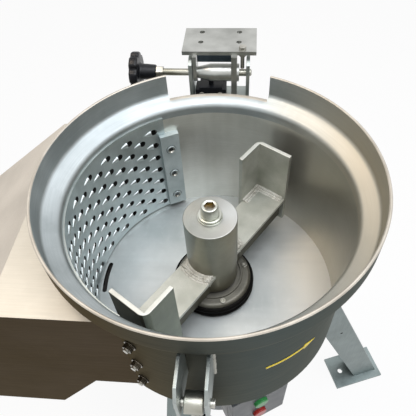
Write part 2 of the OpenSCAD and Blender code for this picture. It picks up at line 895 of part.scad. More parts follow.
// Upright bent plate: one flange along the arm's leading side and one across its end
module paddle(i) {
    edge = arm_w / 2 + arm_t;
    bend = [paddle_reach - paddle_bend, edge - paddle_bend];
    color(turned)
        at_arm(i)
            translate([0, 0, paddle_base_z])
                linear_extrude(paddle_z - paddle_base_z)
                    polygon(concat(
                        [[paddle_reach - paddle_l, edge]],
                        arc(bend, paddle_bend, 90, 0),
                        [[paddle_reach, -arm_w / 2], [paddle_reach - arm_t, -arm_w / 2]],
                        [[paddle_reach - arm_t, edge - arm_t], [paddle_reach - paddle_l, edge - arm_t]]));
}

module paddle_1() paddle(0);
module paddle_2() paddle(1);

module hub_washer()
    color(zinc) sector(hub_screw_d / 2 + screw_clear, hub_screw_d * 1.19, hub_z, hub_z + washer_t);

module hub_spring_washer()
    color(zinc)
        translate([0, 0, hub_z + washer_t])
            sector(hub_screw_d / 2 + screw_clear, hub_screw_d * 0.875, 0, spring_t);

module hub_screw() {
    seat = hub_z + washer_t + spring_t;
    color(zinc)
        difference() {
            union() {
                post(head_r, seat, seat + hub_screw_d);
                post(hub_screw_d / 2, shaft_top_z - 28, seat);
            }
            hexagon(hub_screw_d * 0.48, seat + hub_screw_d / 2, seat + hub_screw_d + cut);
        }
}

// Rear hinge

// Two cheeks welded to the drum wall and a bridge that carries the switch
module hinge_bracket()
    color(dark_steel)
        difference() {
            union() {
                for (x = [-cheek_half, cheek_in])
                    translate([x, 0, 0])
                        difference() {
                            union() {
                                translate([0, hinge_y, hinge_z]) rod_x(cheek_r, 0, cheek_t);
                                rotate([90, 0, 90])
                                    linear_extrude(cheek_t)
                                        polygon([
                                            [cheek_front, hinge_z], [cheek_front, rim_z - collar_drop],
                                            [drum_r - 15, rim_z - collar_drop],
                                            [drum_r - 15, rim_z - cheek_drop],
                                            [drum_out + 6, rim_z - cheek_drop],
                                            [hinge_y + cheek_r, rim_z - bridge_drop - bridge_t],
                                            [hinge_y + cheek_r, hinge_z]]);
                            }
                            translate([-cut, cheek_front - 2 * cheek_r, hinge_z - 2 * cheek_r])
                                cube([cheek_t + 2 * cut, 2 * cheek_r, 4 * cheek_r - 1]);
                        }
                translate([-cheek_in - eps, cheek_front, switch_z - bridge_t])
                    cube([2 * cheek_in + 2 * eps, hinge_y + cheek_r - cheek_front - 4, bridge_t]);
                for (x = [-cheek_half, cheek_in])
                    translate([x, drum_r - 15, rim_z - cheek_drop])
                        cube([cheek_t, cheek_front - drum_r + 16, cheek_drop - collar_drop - 4]);
            }
            post(drum_out, base_z, rim_z);
            translate([0, hinge_y, hinge_z])
                rod_x(pin_d / 2 + run_clear, -cheek_half - cut, cheek_half + cut);
        }

// Limit switch under the sleeve
module safety_switch()
    color(black)
        translate([switch_x, hinge_y, switch_z])
            difference() {
                union() {
                    translate([-switch_w / 2, -switch_d / 2, 0]) cube([switch_w, switch_d, switch_h - 3]);
                    translate([-switch_w / 2 + 5, -switch_d / 2, switch_h - 3 - eps])
                        cube([switch_w - 10, switch_d, 3 + eps]);
                }
                post(plunger_r + run_clear, switch_h - plunger_deep, switch_h + cut);
                for (side = [-1, 1])
                    translate([side * 12, -switch_d / 2 - cut, 7])
                        rotate([-90, 0, 0]) cylinder(r = 2, h = 5);
            }

module switch_screws()
    color(zinc)
        for (side = [-1, 1])
            translate([switch_x + side * 12, hinge_y - switch_d / 2, switch_z + 7])
                rotate([-90, 0, 0])
                    union() {
                        post(2, 0, 4);
                        post(3.4, -1.6, 0);
                    }

module switch_plunger()
    color(black)
        translate([switch_x, hinge_y, 0])
            post(plunger_r, switch_z + switch_h - plunger_deep + 5, hinge_z - sleeve_r - plunger_gap);

// The hinged part that carries the hopper: sleeve, two lugs and a drilled plate
module swing_bracket() {
    left = -cheek_in + gap_clear;
    color(steel)
        difference() {
            union() {
                translate([0, hinge_y, hinge_z]) {
                    rod_x(sleeve_r, cone_x, sleeve_end);
                    translate([left, 0, 0])
                        rotate([0, 90, 0])
                            cylinder(r1 = pin_d / 2 + 1.5, r2 = sleeve_r, h = cone_x - left);
                    rod_x(sleeve_r, left, left + left_lug_t);
                    translate([left, -sleeve_r, 0]) cube([left_lug_t, 2 * sleeve_r, plate_rise]);
                    translate([lug_x, -sleeve_r, -lug_tail])
                        cube([lug_t, 2 * sleeve_r, plate_rise + lug_tail]);
                }
                translate([-plate_w / 2, plate_y, plate_z]) cube([plate_w, plate_d, plate_t]);
            }
            translate([0, hinge_y, hinge_z]) rod_x(pin_d / 2 + run_clear, -plate_w, plate_w);
            for (sx = [-1, 1], sy = [-1, 1])
                translate([sx * plate_hole_dx / 2, hinge_y + plate_hole_y + sy * plate_hole_dy / 2, 0])
                    post(plate_hole_d / 2, plate_z - cut, plate_z + plate_t + cut);
            translate([stop_x, hinge_y, 0]) post(stop_d / 2, plate_z - cut, plate_z + plate_t + cut);
        }
}

module stop_screw()
    color(zinc)
        translate([stop_x, hinge_y, 0])
            union() {
                post(stop_d / 2, plate_z + plate_t - stop_l, plate_z + plate_t);
                hexagon(stop_d * 0.92, plate_z + plate_t, plate_z + plate_t + 4);
            }

module stop_nut()
    color(zinc)
        translate([stop_x, hinge_y, 0])
            difference() {
                hexagon(stop_d * 0.92, plate_z - stop_d * 0.8, plate_z);
                post(stop_d / 2, plate_z - stop_d, plate_z + cut);
            }

// Pull-out hinge pin with a hand knob locked by a nut
module hinge_pin()
    color(turned)
        translate([0, hinge_y, hinge_z])
            union() {
                rod_x(pin_d / 2, pin_left - nut_l - 12, cheek_half + 1);
                translate([cheek_half + 1, 0, 0])
                    rotate([0, 90, 0]) cylinder(r1 = pin_d / 2, r2 = pin_d / 2 - 1.5, h = 1.5);
            }

module pin_nut()
    color(zinc)
        translate([pin_left, hinge_y, hinge_z])
            rotate([0, -90, 0])
                difference() {
                    hexagon(pin_d * 0.85, 0, nut_l);
                    post(pin_d / 2, -cut, nut_l + cut);
                }

// Scalloped hand grip with a hub, standing on Z = 0
module grip(length, hub_len, bore_r, bore_l)
    difference() {
        union() {
            cylinder(r1 = knob_hub_r, r2 = knob_hub_r + 1.5, h = hub_len);
            post(knob_d / 2, hub_len - eps, length);
        }
        for (a = [0:360 / 7:359])
            rotate([0, 0, a]) translate([knob_d / 2 + 5, 0, 0]) post(8, hub_len + eps, length + cut);
        post(bore_r, -cut, bore_l);
    }

module pin_knob()
    color(black)
        translate([pin_left - nut_l, hinge_y, hinge_z])
            rotate([0, -90, 0]) grip(knob_hub_l + knob_t, knob_hub_l, pin_d / 2, 12);

// Front latch

module latch_ears()
    color(dark_steel)
        difference() {
            for (x = [-ear_w / 2, ear_in])
                translate([x, 0, 0])
                    union() {
                        rotate([90, 0, 90])
                            linear_extrude(ear_t)
                                polygon([
                                    [-drum_r, rim_z - ear_drop - 12], [-rim_r + 4, rim_z - ear_drop],
                                    [latch_y - 4, rim_z - ear_drop], [latch_y - 12, rim_z - ear_drop - 12],
                                    [latch_y - 12, latch_z], [latch_y, latch_z - 12],
                                    [-drum_r, latch_z - 30]]);
                        translate([0, latch_y, latch_z]) rod_x(12, 0, ear_t);
                    }
            post(drum_out, base_z, rim_z);
            translate([0, latch_y, latch_z]) rod_x(latch_pin_d / 2, -ear_w, ear_w);
        }

module latch_pivot()
    color(zinc)
        translate([0, latch_y, latch_z])
            union() {
                rod_x(latch_pin_d / 2, -ear_w / 2, ear_w / 2 + 4);
                rod_x(latch_pin_d / 2 + 2.5, -ear_w / 2 - 3, -ear_w / 2);
            }

// Eye bolt that hangs from the pivot and swings up over the rim
module swing_bolt()
    color(zinc)
        translate([0, latch_y, latch_z])
            difference() {
                union() {
                    rod_x(eye_r, -ear_in + gap_clear, ear_in - gap_clear);
                    post(bolt_d / 2, -bolt_l, 0);
                }
                rod_x(latch_pin_d / 2 + run_clear, -ear_w, ear_w);
            }

module latch_knob()
    color(black)
        translate([0, latch_y, latch_z - bolt_l + hand_knob_l + 4])
            rotate([180, 0, 0])
                grip(hand_knob_l, hand_knob_l - knob_t, bolt_d / 2 + run_clear, hand_knob_l + cut);

rim_ring();
drum_shell();
drum_floor();
grater_plate();
rear_clamp_strip();
front_clamp_strip();
strip_screws();
strip_washers();
strip_nuts();
chute_hood();
right_leg();
rear_leg();
front_leg();
foot_plates();
seal_ring();
seal_cover();
seal_screws();
shaft_seal();
motor_studs();
motor_washers();
motor_nuts();
motor_flange();
motor_frame();
motor_stator();
motor_end_shield();
upper_bearing();
lower_bearing();
fan_cowl();
terminal_box();
switch_cover();
cable_gland();
start_button();
stop_button();
motor_shaft();
motor_core();
cooling_fan();
shaft_key();
rotor_hub();
rotor_arm_1();
rotor_arm_2();
paddle_1();
paddle_2();
hub_washer();
hub_spring_washer();
hub_screw();
hinge_bracket();
safety_switch();
switch_screws();
switch_plunger();
swing_bracket();
stop_screw();
stop_nut();
hinge_pin();
pin_nut();
pin_knob();
latch_ears();
latch_pivot();
swing_bolt();
latch_knob();
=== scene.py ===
"""Looks for the fruit rasp mill.

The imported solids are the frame. Every shown piece is a finer copy of a solid or a new mesh in its
place, in metres, with the rotor axis on Z and the ground at Z = 0.
"""

import json
import logging
import math
from dataclasses import dataclass
from enum import Enum
from typing import Any, Callable, Iterable, Sequence

import bmesh
import bpy
from mathutils import Matrix, Vector


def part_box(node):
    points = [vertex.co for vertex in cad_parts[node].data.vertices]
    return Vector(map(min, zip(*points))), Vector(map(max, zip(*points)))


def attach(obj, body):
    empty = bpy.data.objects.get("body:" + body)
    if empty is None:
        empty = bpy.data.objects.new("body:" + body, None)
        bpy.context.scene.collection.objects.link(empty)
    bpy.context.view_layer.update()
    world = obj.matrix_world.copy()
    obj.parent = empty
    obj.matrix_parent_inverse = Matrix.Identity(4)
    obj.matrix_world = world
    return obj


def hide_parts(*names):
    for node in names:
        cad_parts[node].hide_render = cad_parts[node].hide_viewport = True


LOG = logging.getLogger("rasp_mill")
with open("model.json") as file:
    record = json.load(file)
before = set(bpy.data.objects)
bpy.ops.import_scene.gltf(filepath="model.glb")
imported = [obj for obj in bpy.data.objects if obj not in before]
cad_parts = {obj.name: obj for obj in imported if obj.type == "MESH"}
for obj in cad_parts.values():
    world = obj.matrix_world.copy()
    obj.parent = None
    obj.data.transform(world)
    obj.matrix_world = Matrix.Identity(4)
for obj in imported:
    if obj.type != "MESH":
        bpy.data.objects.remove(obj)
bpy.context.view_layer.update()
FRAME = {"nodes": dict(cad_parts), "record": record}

MM = 0.001
TURN = 2 * math.pi
BODY_OF = {n: b for b, nodes in FRAME["record"]["behaviour"]["bodies"].items() for n in nodes}

# Distances below which the points of a new mesh and of a copied solid are one
NEW_MERGE = 1e-7
COPY_MERGE = 1e-6
# Angles below which faces are one flat, above which a new mesh has a sharp edge, and above which
# a copied solid's edge is broken
FLAT_DEG = 0.4
SHARP_DEG = 38.0
BREAK_DEG = 35.0
# Radius of the small flat at the pole of a turned piece
POLE = 0.2 * MM

Point = tuple[float, float, float]
Ring = tuple[float, float]
Tree = bpy.types.NodeTree
Node = bpy.types.Node
Socket = bpy.types.NodeSocket
Link = Node | Socket
Mesh = bpy.types.Mesh
Object = bpy.types.Object
Rule = Callable[[Vector, Vector], int]
Shaper = Callable[[float, float, float], float]


# Helpers for node trees and meshes


def linear(code: str) -> tuple[float, float, float, float]:
    """Turns an sRGB hex colour into linear RGBA.

    Args:
        code: colour such as "#a0b1c2".

    Returns:
        Linear red, green, blue and an alpha of 1.
    """
    parts = [int(code[i : i + 2], 16) / 255 for i in (1, 3, 5)]
    red, green, blue = (
        c / 12.92 if c <= 0.04045 else ((c + 0.055) / 1.055) ** 2.4 for c in parts
    )
    return (red, green, blue, 1.0)


def add(tree: Tree, kind: str, inputs: dict[Any, Any] | None = None, **settings: Any) -> Node:
    """Adds a node with its settings, and links or sets its inputs.

    Args:
        tree: node tree that gets the node.
        kind: node type.
        inputs: socket name or index to a value, to a socket that is linked to it, or to a node
            whose first output is linked to it.
        settings: properties of the node.

    Returns:
        The new node.
    """
    node = tree.nodes.new(kind)
    for name, value in settings.items():
        setattr(node, name, value)
    for key, value in (inputs or {}).items():
        source = value.outputs[0] if isinstance(value, Node) else value
        if isinstance(source, Socket):
            tree.links.new(source, node.inputs[key])
        else:
            node.inputs[key].default_value = source
    return node


def linked(data: bpy.types.ID, name: str) -> Object:
    """Puts a mesh, lamp or camera into the scene.

    Args:
        data: what the object shows.
        name: object name.

    Returns:
        The new object.
    """
    obj = bpy.data.objects.new(name, data)
    bpy.context.scene.collection.objects.link(obj)
    return obj


def piece(mesh: Mesh, name: str, body: str, nodes: Iterable[str] = ()) -> None:
    """Shows a mesh as a piece of the mill.

    Args:
        mesh: finished mesh, in its place.
        name: piece name.
        body: body that it moves with.
        nodes: solids that it stands for.
    """
    obj = linked(mesh, name)
    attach(obj, body)
    if nodes:
        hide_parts(*nodes)
    LOG.info("%s on %s, %d faces", name, body, len(mesh.polygons))


def stand_in(mesh: Mesh, node: str) -> None:
    """Shows a mesh in place of a solid."""
    piece(mesh, node + "_shown", BODY_OF[node], [node])


def evaluated(obj: Object, name: str) -> Mesh:
    """Turns an object with its modifiers into a plain mesh and removes the object.

    Args:
        obj: object with live modifiers.
        name: name of the new mesh.

    Returns:
        The plain mesh.
    """
    graph = bpy.context.evaluated_depsgraph_get()
    mesh = bpy.data.meshes.new_from_object(
        obj.evaluated_get(graph), preserve_all_data_layers=True, depsgraph=graph
    )
    mesh.name = name
    source = obj.data
    obj.modifiers.clear()
    bpy.data.objects.remove(obj)
    bpy.data.meshes.remove(source)
    return mesh


def mesh_of(
    name: str, points: Sequence[Sequence[float]], faces: Sequence[Sequence[int]]
) -> Mesh:
    """Makes a smooth mesh from points and faces, with doubles merged and faces turned outwards.

    Args:
        name: mesh name.
        points: corner points in metres.
        faces: corner numbers of each face.

    Returns:
        The new mesh.
    """
    mesh = bpy.data.meshes.new(name)
    mesh.from_pydata([tuple(p) for p in points], [], [tuple(f) for f in faces])
    shape = bmesh.new()
    shape.from_mesh(mesh)
    bmesh.ops.remove_doubles(shape, verts=shape.verts, dist=NEW_MERGE)
    bmesh.ops.recalc_face_normals(shape, faces=shape.faces)
    shape.to_mesh(mesh)
    shape.free()
    mesh.shade_smooth()
    mesh.set_sharp_from_angle(angle=math.radians(SHARP_DEG))
    return mesh


def grid_faces(rows: int, columns: int) -> list[tuple[int, ...]]:
    """Lists the quads of a grid of points whose rows close on themselves.

    Args:
        rows: number of rows.
        columns: number of points in a row.

    Returns:
        Corner numbers of each quad.
    """
    return [
        (r * columns + c, r * columns + (c + 1) % columns,
         (r + 1) * columns + (c + 1) % columns, (r + 1) * columns + c)
        for r in range(rows - 1)
        for c in range(columns)
    ]


def lathe(
    name: str,
    profile: Sequence[Ring],
    place: Matrix,
    steps: int = 64,
    shape: Shaper | None = None,
) -> Mesh:
    """Turns a closed profile of (radius, height) round its axis.

    Args:
        name: mesh name.
        profile: rings from the axis out and back to the axis, or a closed loop for a hollow one.
        place: where the axis stands.
        steps: points in a ring.
        shape: changes a ring's radius by its radius, height and angle.

    Returns:
        The new mesh.
    """
    points = []
    for radius, height in profile:
        for i in range(steps):
            angle = TURN * i / steps
            r = shape(radius, height, angle) if shape else radius
            points.append(place @ Vector((r * math.cos(angle), r * math.sin(angle), height)))
    faces = grid_faces(len(profile), steps)
    if profile[0] != profile[-1]:
        faces.append(tuple(range(steps)))
        faces.append(tuple(range((len(profile) - 1) * steps, len(profile) * steps)))
    return mesh_of(name, points, faces)


def joined(name: str, meshes: Sequence[Mesh]) -> Mesh:
    """Joins meshes that have no finish yet into one.

    Args:
        name: name of the new mesh.
        meshes: meshes that are used up.

    Returns:
        The joined mesh.
    """
    whole = bmesh.new()
    for mesh in meshes:
        whole.from_mesh(mesh)
        bpy.data.meshes.remove(mesh)
    result = bpy.data.meshes.new(name)
    whole.to_mesh(result)
    whole.free()
    return result


def rounded(corners: Sequence[Ring], radius: float, steps: int = 4) -> list[Ring]:
    """Rounds the corners of an open profile.

    Args:
        corners: profile corners; the first and last are kept.
        radius: rounding radius.
        steps: pieces of each arc.

    Returns:
        The profile with arcs in place of its inner corners.
    """
    result: list[Ring] = [corners[0]]
    for before, corner, after in zip(corners, corners[1:], corners[2:]):
        at = Vector(corner)
        back = Vector(before) - at
        on = Vector(after) - at
        cut = min(radius, back.length / 2, on.length / 2)
        start, end = at + back.normalized() * cut, at + on.normalized() * cut
        for i in range(steps + 1):
            t = i / steps
            p = start * (1 - t) ** 2 + at * 2 * t * (1 - t) + end * t**2
            result.append((p.x, p.y))
    result.append(corners[-1])
    return result


def socket(key: float, floor: float) -> Shaper:
    """Makes the shape of a hexagon socket for a turned piece.

    Args:
        key: radius of the hexagon's corners; wider rings stay round.
        floor: height of the socket's floor; lower rings stay round.

    Returns:
        What changes a ring's radius.
    """

    def hexagon(radius: float, height: float, angle: float) -> float:
        """Returns the distance to the hexagon's side at an angle."""
        side = math.cos(math.pi / 6) / math.cos(angle % (math.pi / 3) - math.pi / 6)
        return radius * side if radius <= key and height >= floor else radius

    return hexagon


# Finishes


class Grain(Enum):
    """How the lines of a steel surface run, by what squeezes a noise into such lines."""

    ROUND = (0.004, 1.0, 1.0)
    X = (0.03, 1.0, 1.0)
    Z = (1.0, 1.0, 0.03)


def pattern(
    tree: Tree, place: Link, mm: float, detail: float = 3.0, squeeze: Point | None = None
) -> Node:
    """Adds a cloudy noise of a real size, which squeezed coordinates draw out into lines.

    Args:
        tree: node tree.
        place: coordinates in metres.
        mm: distance between its clouds.
        detail: number of finer layers.
        squeeze: scale of the coordinates along each axis.

    Returns:
        The noise, whose first output is its value.
    """
    if squeeze:
        place = add(tree, "ShaderNodeVectorMath", {0: place, 1: squeeze}, operation="MULTIPLY")
    size = {"Vector": place, "Scale": 1 / (mm * MM), "Detail": detail}
    return add(tree, "ShaderNodeTexNoise", size)


def blend(
    tree: Tree,
    value: Link,
    first: str | Socket,
    second: str | Socket,
    most: float = 1.0,
    span: Ring = (0.3, 0.7),
) -> Socket:
    """Mixes two colours by a pattern.

    Args:
        tree: node tree.
        value: pattern's value.
        first: hex code or socket of the colour at the span's start.
        second: hex code or socket of the colour that comes in.
        most: share of the second colour at the span's end.
        span: part of the pattern's range that is used.

    Returns:
        The mixed colour's socket.
    """
    used = {"Value": value, "From Min": span[0], "From Max": span[1], "To Max": most}
    share = add(tree, "ShaderNodeMapRange", used)
    first, second = (linear(c) if isinstance(c, str) else c for c in (first, second))
    # The mix node's sockets for numbers and colours share their names, so they go by number
    mixed = {0: share, 6: first, 7: second}
    return add(tree, "ShaderNodeMix", mixed, data_type="RGBA").outputs[2]


@dataclass(frozen=True)
class Finish:
    """A named finish; each kind builds its own nodes.

    Attributes:
        name: what the real material is and how it was made.
        light: its brighter or main colour.
        dark: its duller colour, or that of its hollows.
    """

    name: str
    light: str
    dark: str

    def material(self) -> bpy.types.Material:
        """Makes the finish's material at its first use.

        Returns:
            The material.
        """
        found = bpy.data.materials.get(self.name)
        if found:
            return found
        material = bpy.data.materials.new(self.name)
        material.use_nodes = True
        tree = material.node_tree
        tree.nodes.clear()
        shader = add(tree, "ShaderNodeBsdfPrincipled")
        add(tree, "ShaderNodeOutputMaterial", {"Surface": shader})
        self.build(tree, shader, add(tree, "ShaderNodeTexCoord").outputs["Object"])
        return material

    def build(self, tree: Tree, shader: Node, place: Socket) -> None:
        """Adds the finish's nodes.

        Args:
            tree: material's node tree.
            shader: its Principled shader.
            place: object coordinates in metres.
        """
        raise NotImplementedError

    def surface(
        self,
        tree: Tree,
        shader: Node,
        colour: Socket,
        wear: Node,
        rough: Ring,
        span: Ring = (0.3, 0.7),
        relief: tuple[Node, float, float] | None = None,
    ) -> None:
        """Links the colour, a roughness that follows the wear, and a relief to the shader.

        Args:
            tree: material's node tree.
            shader: its Principled shader.
            colour: base colour.
            wear: pattern of the wear.
            rough: roughness at the span's start and end.
            span: part of the wear's range that is used.
            relief: pattern of the relief, its strength and its depth in millimetres.
        """
        worn = {"Value": wear, "From Min": span[0], "From Max": span[1]}
        worn |= {"To Min": rough[0], "To Max": rough[1]}
        sheen = add(tree, "ShaderNodeMapRange", worn).outputs[0]
        tree.links.new(colour, shader.inputs["Base Color"])
        tree.links.new(sheen, shader.inputs["Roughness"])
        if relief:
            height, strength, mm = relief
            raised = {"Strength": strength, "Distance": mm * MM, "Height": height}
            bump = add(tree, "ShaderNodeBump", raised).outputs[0]
            tree.links.new(bump, shader.inputs["Normal"])


@dataclass(frozen=True)
class RolledSteel(Finish):
    """Rolled and brushed stainless sheet.

    Fine brush lines draw highlights out across them, and slow clouds from rolling and handling
    break up the reflections.

    Attributes:
        grain: direction of the brush lines.
        rough: middle roughness.
        line_mm: distance between brush lines, drawn coarser than real so that they show.
        lines: how strongly the lines darken the steel.
        cloud_mm: size of the slow clouds.
        band_mm: width of soft upright bands of painted reflection, 0 for none.
        depth: strength of the lines' relief.
        stretch: how far lines round the axis draw out the highlights.
        metal: metallic share; below 1 for a film of handling and dried juice.
        far: colour of painted light and shade towards +X, the side away from the chute, if it
            differs.
        far_x: places between which it goes over into that colour.
        rear: the sheet's plain colour on the side of the rear hinge, if it differs, where the
            painted shade of the front ends.
        rear_y: places between which it goes over into that colour.
        glance: tint of reflections at a glancing view.
    """

    grain: Grain = Grain.ROUND
    rough: float = 0.34
    line_mm: float = 1.1
    lines: float = 0.3
    cloud_mm: float = 70.0
    band_mm: float = 0.0
    depth: float = 0.05
    stretch: float = 0.55
    metal: float = 0.9
    far: str = ""
    far_x: Ring = (0.02, 0.13)
    rear: str = ""
    rear_y: Ring = (-0.03, 0.1)
    glance: str = "#ffffff"

    def turned(self, tree: Tree, place: Socket) -> Node:
        """Adds coordinates of angle, radius and height in place of X, Y and Z.

        Args:
            tree: material's node tree.
            place: object coordinates.

        Returns:
            The node that gives them.
        """
        x, y, z = add(tree, "ShaderNodeSeparateXYZ", {"Vector": place}).outputs
        angle = add(tree, "ShaderNodeMath", {0: y, 1: x}, operation="ARCTAN2")
        flat = add(tree, "ShaderNodeCombineXYZ", {"X": x, "Y": y})
        radius = add(tree, "ShaderNodeVectorMath", {0: flat}, operation="LENGTH").outputs["Value"]
        return add(tree, "ShaderNodeCombineXYZ", {"X": angle, "Y": radius, "Z": z})

    def build(self, tree: Tree, shader: Node, place: Socket) -> None:
        """Adds brush lines, clouds, bands of painted reflection, colours of painted light and shade
        by place, and a little relief.

        Args:
            tree: material's node tree.
            shader: its Principled shader.
            place: object coordinates in metres.
        """
        round_axis = self.grain is Grain.ROUND
        base = self.turned(tree, place) if round_axis else place
        lines = pattern(tree, base, self.line_mm, 2.0, self.grain.value)
        clouds = pattern(tree, place, self.cloud_mm, 4.0)
        specks = pattern(tree, place, self.cloud_mm / 9)
        broad, span = clouds, (0.3, 0.7)
        # Painted reflection: soft upright bands in the colour
        if self.band_mm:
            bands = pattern(tree, place, self.band_mm, 2.0, (1, 1, 0.06))
            broad = add(tree, "ShaderNodeMath", {0: clouds, 1: bands}, operation="ADD")
            span = (0.75, 1.25)
        colour = blend(tree, broad, self.dark, self.light, span=span)
        colour = blend(tree, specks, colour, self.light, 0.25, (0.55, 0.75))
        colour = blend(tree, lines, colour, self.dark, self.lines, (0.25, 0.75))
        # Painted light and shade: the colour goes over to the +X and rear colours by place
        for axis, shade, way in (("X", self.far, self.far_x), ("Y", self.rear, self.rear_y)):
            if shade:
                along = add(tree, "ShaderNodeSeparateXYZ", {"Vector": place}).outputs[axis]
                colour = blend(tree, along, colour, shade, 0.85, way)
        wear = add(tree, "ShaderNodeMath", {0: lines, 1: clouds}, operation="ADD")
        rough = (self.rough - 0.07, self.rough + 0.09)
        self.surface(tree, shader, colour, wear, rough, (0.7, 1.3), (lines, self.depth, 0.2))
        shader.inputs["Metallic"].default_value = self.metal
        shader.inputs["Specular Tint"].default_value = linear(self.glance)
        if round_axis:
            shader.inputs["Anisotropic"].default_value = self.stretch
            way = add(tree, "ShaderNodeTangent", direction_type="RADIAL", axis="Z")
            tree.links.new(way.outputs[0], shader.inputs["Tangent"])


@dataclass(frozen=True)
class BlastedSteel(Finish):
    """Bead-blasted stainless plate: an even matte grey with a fine pitted relief.

    Attributes:
        rough: middle roughness.
        grit_mm: distance between pits, drawn coarser than real so that they show.
        relief: strength of the pits.
        cloud_mm: size of the handling clouds.
        metal: metallic share; below 1 for the film in its pits.
        foot: colour at its lower end, if it differs.
        foot_z: heights between which it goes over into that colour.
    """

    rough: float = 0.5
    grit_mm: float = 1.6
    relief: float = 0.12
    cloud_mm: float = 26.0
    metal: float = 0.85
    foot: str = ""
    foot_z: Ring = (0.0, 1.0)

    def build(self, tree: Tree, shader: Node, place: Socket) -> None:
        """Adds pits, handling clouds and a matte sheen.

        Args:
            tree: material's node tree.
            shader: its Principled shader.
            place: object coordinates in metres.
        """
        pits = pattern(tree, place, self.grit_mm, 2.0)
        clouds = pattern(tree, place, self.cloud_mm, 4.0)
        colour = blend(tree, clouds, self.dark, self.light)
        colour = blend(tree, pits, colour, self.dark, 0.3, (0.4, 0.75))
        if self.foot:
            z = add(tree, "ShaderNodeSeparateXYZ", {"Vector": place}).outputs["Z"]
            colour = blend(tree, z, self.foot, colour, span=self.foot_z)
        rough = (self.rough - 0.05, self.rough + 0.07)
        self.surface(tree, shader, colour, clouds, rough, relief=(pits, self.relief, 0.25))
        shader.inputs["Metallic"].default_value = self.metal


@dataclass(frozen=True)
class BrightSteel(Finish):
    """Turned or cold-formed bright steel: tight, clean highlights with faint tool marks.

    Attributes:
        rough: middle roughness.
        cloud_mm: size of the patches between the two colours.
        mark_mm: distance between the tool marks, drawn coarser than real so that they show.
    """

    rough: float = 0.2
    cloud_mm: float = 30.0
    mark_mm: float = 2.5

    def build(self, tree: Tree, shader: Node, place: Socket) -> None:
        """Adds faint marks in colour and roughness.

        Args:
            tree: material's node tree.
            shader: its Principled shader.
            place: object coordinates in metres.
        """
        marks = pattern(tree, place, self.mark_mm, 2.0)
        colour = blend(tree, pattern(tree, place, self.cloud_mm), self.dark, self.light)
        self.surface(tree, shader, colour, marks, (self.rough - 0.03, self.rough + 0.05))
        shader.inputs["Metallic"].default_value = 1.0


@dataclass(frozen=True)
class Coating(Finish):
    """Plastic, rubber or paint: a coloured surface with a moulded or sprayed grain.

    Attributes:
        rough: middle roughness.
        grain_mm: distance between the grains.
        relief: strength of the grain.
        shine: strength of the reflections.
        cloud_mm: size of the clouds of wear.
    """

    rough: float = 0.42
    grain_mm: float = 0.9
    relief: float = 0.1
    shine: float = 0.5
    cloud_mm: float = 22.0

    def build(self, tree: Tree, shader: Node, place: Socket) -> None:
        """Adds grain, slow clouds of wear and the sheen.

        Args:
            tree: material's node tree.
            shader: its Principled shader.
            place: object coordinates in metres.
        """
        grain = pattern(tree, place, self.grain_mm, 2.0)
        clouds = pattern(tree, place, self.cloud_mm, 4.0)
        colour = blend(tree, clouds, self.dark, self.light)
        colour = blend(tree, grain, colour, self.dark, 0.4, (0.45, 0.75))
        rough = (self.rough - 0.06, self.rough + 0.08)
        self.surface(tree, shader, colour, clouds, rough, relief=(grain, self.relief, 0.2))
        shader.inputs["Specular IOR Level"].default_value = self.shine


# Brushed 2B sheet inside the drum: pale, with soft upright bands of painted reflection across the
# brushing
DRUM_INSIDE = RolledSteel(
    "brushed_stainless_drum_inside", "#f3f3ee", "#d0d0c8", rough=0.4, band_mm=32.0, metal=0.85,
    # Painted shade and warm reflection towards +X
    far="#a5a193",
)
# The same sheet outside, matte: dark brown painted shade and dark reflection, going over to a
# painted slate reflection away from the chute and to the sheet's plain grey at the rear
DRUM_OUTSIDE = RolledSteel(
    "dulled_stainless_drum_outside", "#554d3f", "#443d30", rough=0.55, lines=0.15, metal=0.98,
    far="#56656a", far_x=(-0.08, 0.06), rear="#8d8f8a", glance="#cbc3b4",
)
# Spun rim: the same sheet, smoother and cooler from the spinning; painted warm reflection towards
# +X
RIM = RolledSteel(
    "spun_stainless_rim", "#c6cccd", "#9da4a5", rough=0.52, metal=0.88, far="#c6bdaa",
    far_x=(0.05, 0.16),
)
# Cut edges, deburred by hand: pale and warm; the same finish is a painted highlight on the rim's
# top edge and along the chute's folds
EDGE = BlastedSteel("deburred_stainless_edge", "#cbc5ba", "#aea79b", rough=0.5, metal=0.7)
# Cut edges of the rotor's plates, blasted with them: neutral and a little paler than the faces,
# a painted highlight along the plates' edges
CUT = BlastedSteel("blasted_stainless_edge", "#dcddd7", "#bcbdb6", rough=0.48, metal=0.75)
# Floor plate with a cloudy mill finish: broad soft patches and no lines, and painted warm light
# towards +X
FLOOR = RolledSteel(
    "mill_finish_stainless_floor", "#d2d5d4", "#afb4b3", Grain.X, rough=0.5, line_mm=6.0,
    lines=0.05, cloud_mm=75.0, depth=0.0, metal=0.72, far="#dad9d4", far_x=(0.07, 0.12),
)
# Punched grater plate: bluish grey, lines upright
GRATER = RolledSteel(
    "punched_stainless_grater", "#d0dadb", "#acb6b7", Grain.Z, rough=0.36, cloud_mm=30.0,
    metal=0.85,
)
# Its teeth, where the punch stretched the sheet: paler than the plate
TOOTH = BlastedSteel("stretched_stainless_tooth", "#d2d8d8", "#adb5b5", rough=0.42, grit_mm=2.2)
# Chute top in warm brushed sheet: the pale, lit copy of the chute's sheet, painted light
HOOD_TOP = RolledSteel(
    "brushed_stainless_hood_top", "#d1cdc2", "#bbb6aa", Grain.X, rough=0.5, lines=0.2,
    cloud_mm=90.0, metal=0.75,
)
# Its slope: another lit copy of the chute's sheet, with a painted warm reflection
HOOD_SLOPE = RolledSteel(
    "wiped_stainless_hood_slope", "#d6cec2", "#bdb4a7", Grain.X, rough=0.5, lines=0.2,
    cloud_mm=90.0, metal=0.75,
)
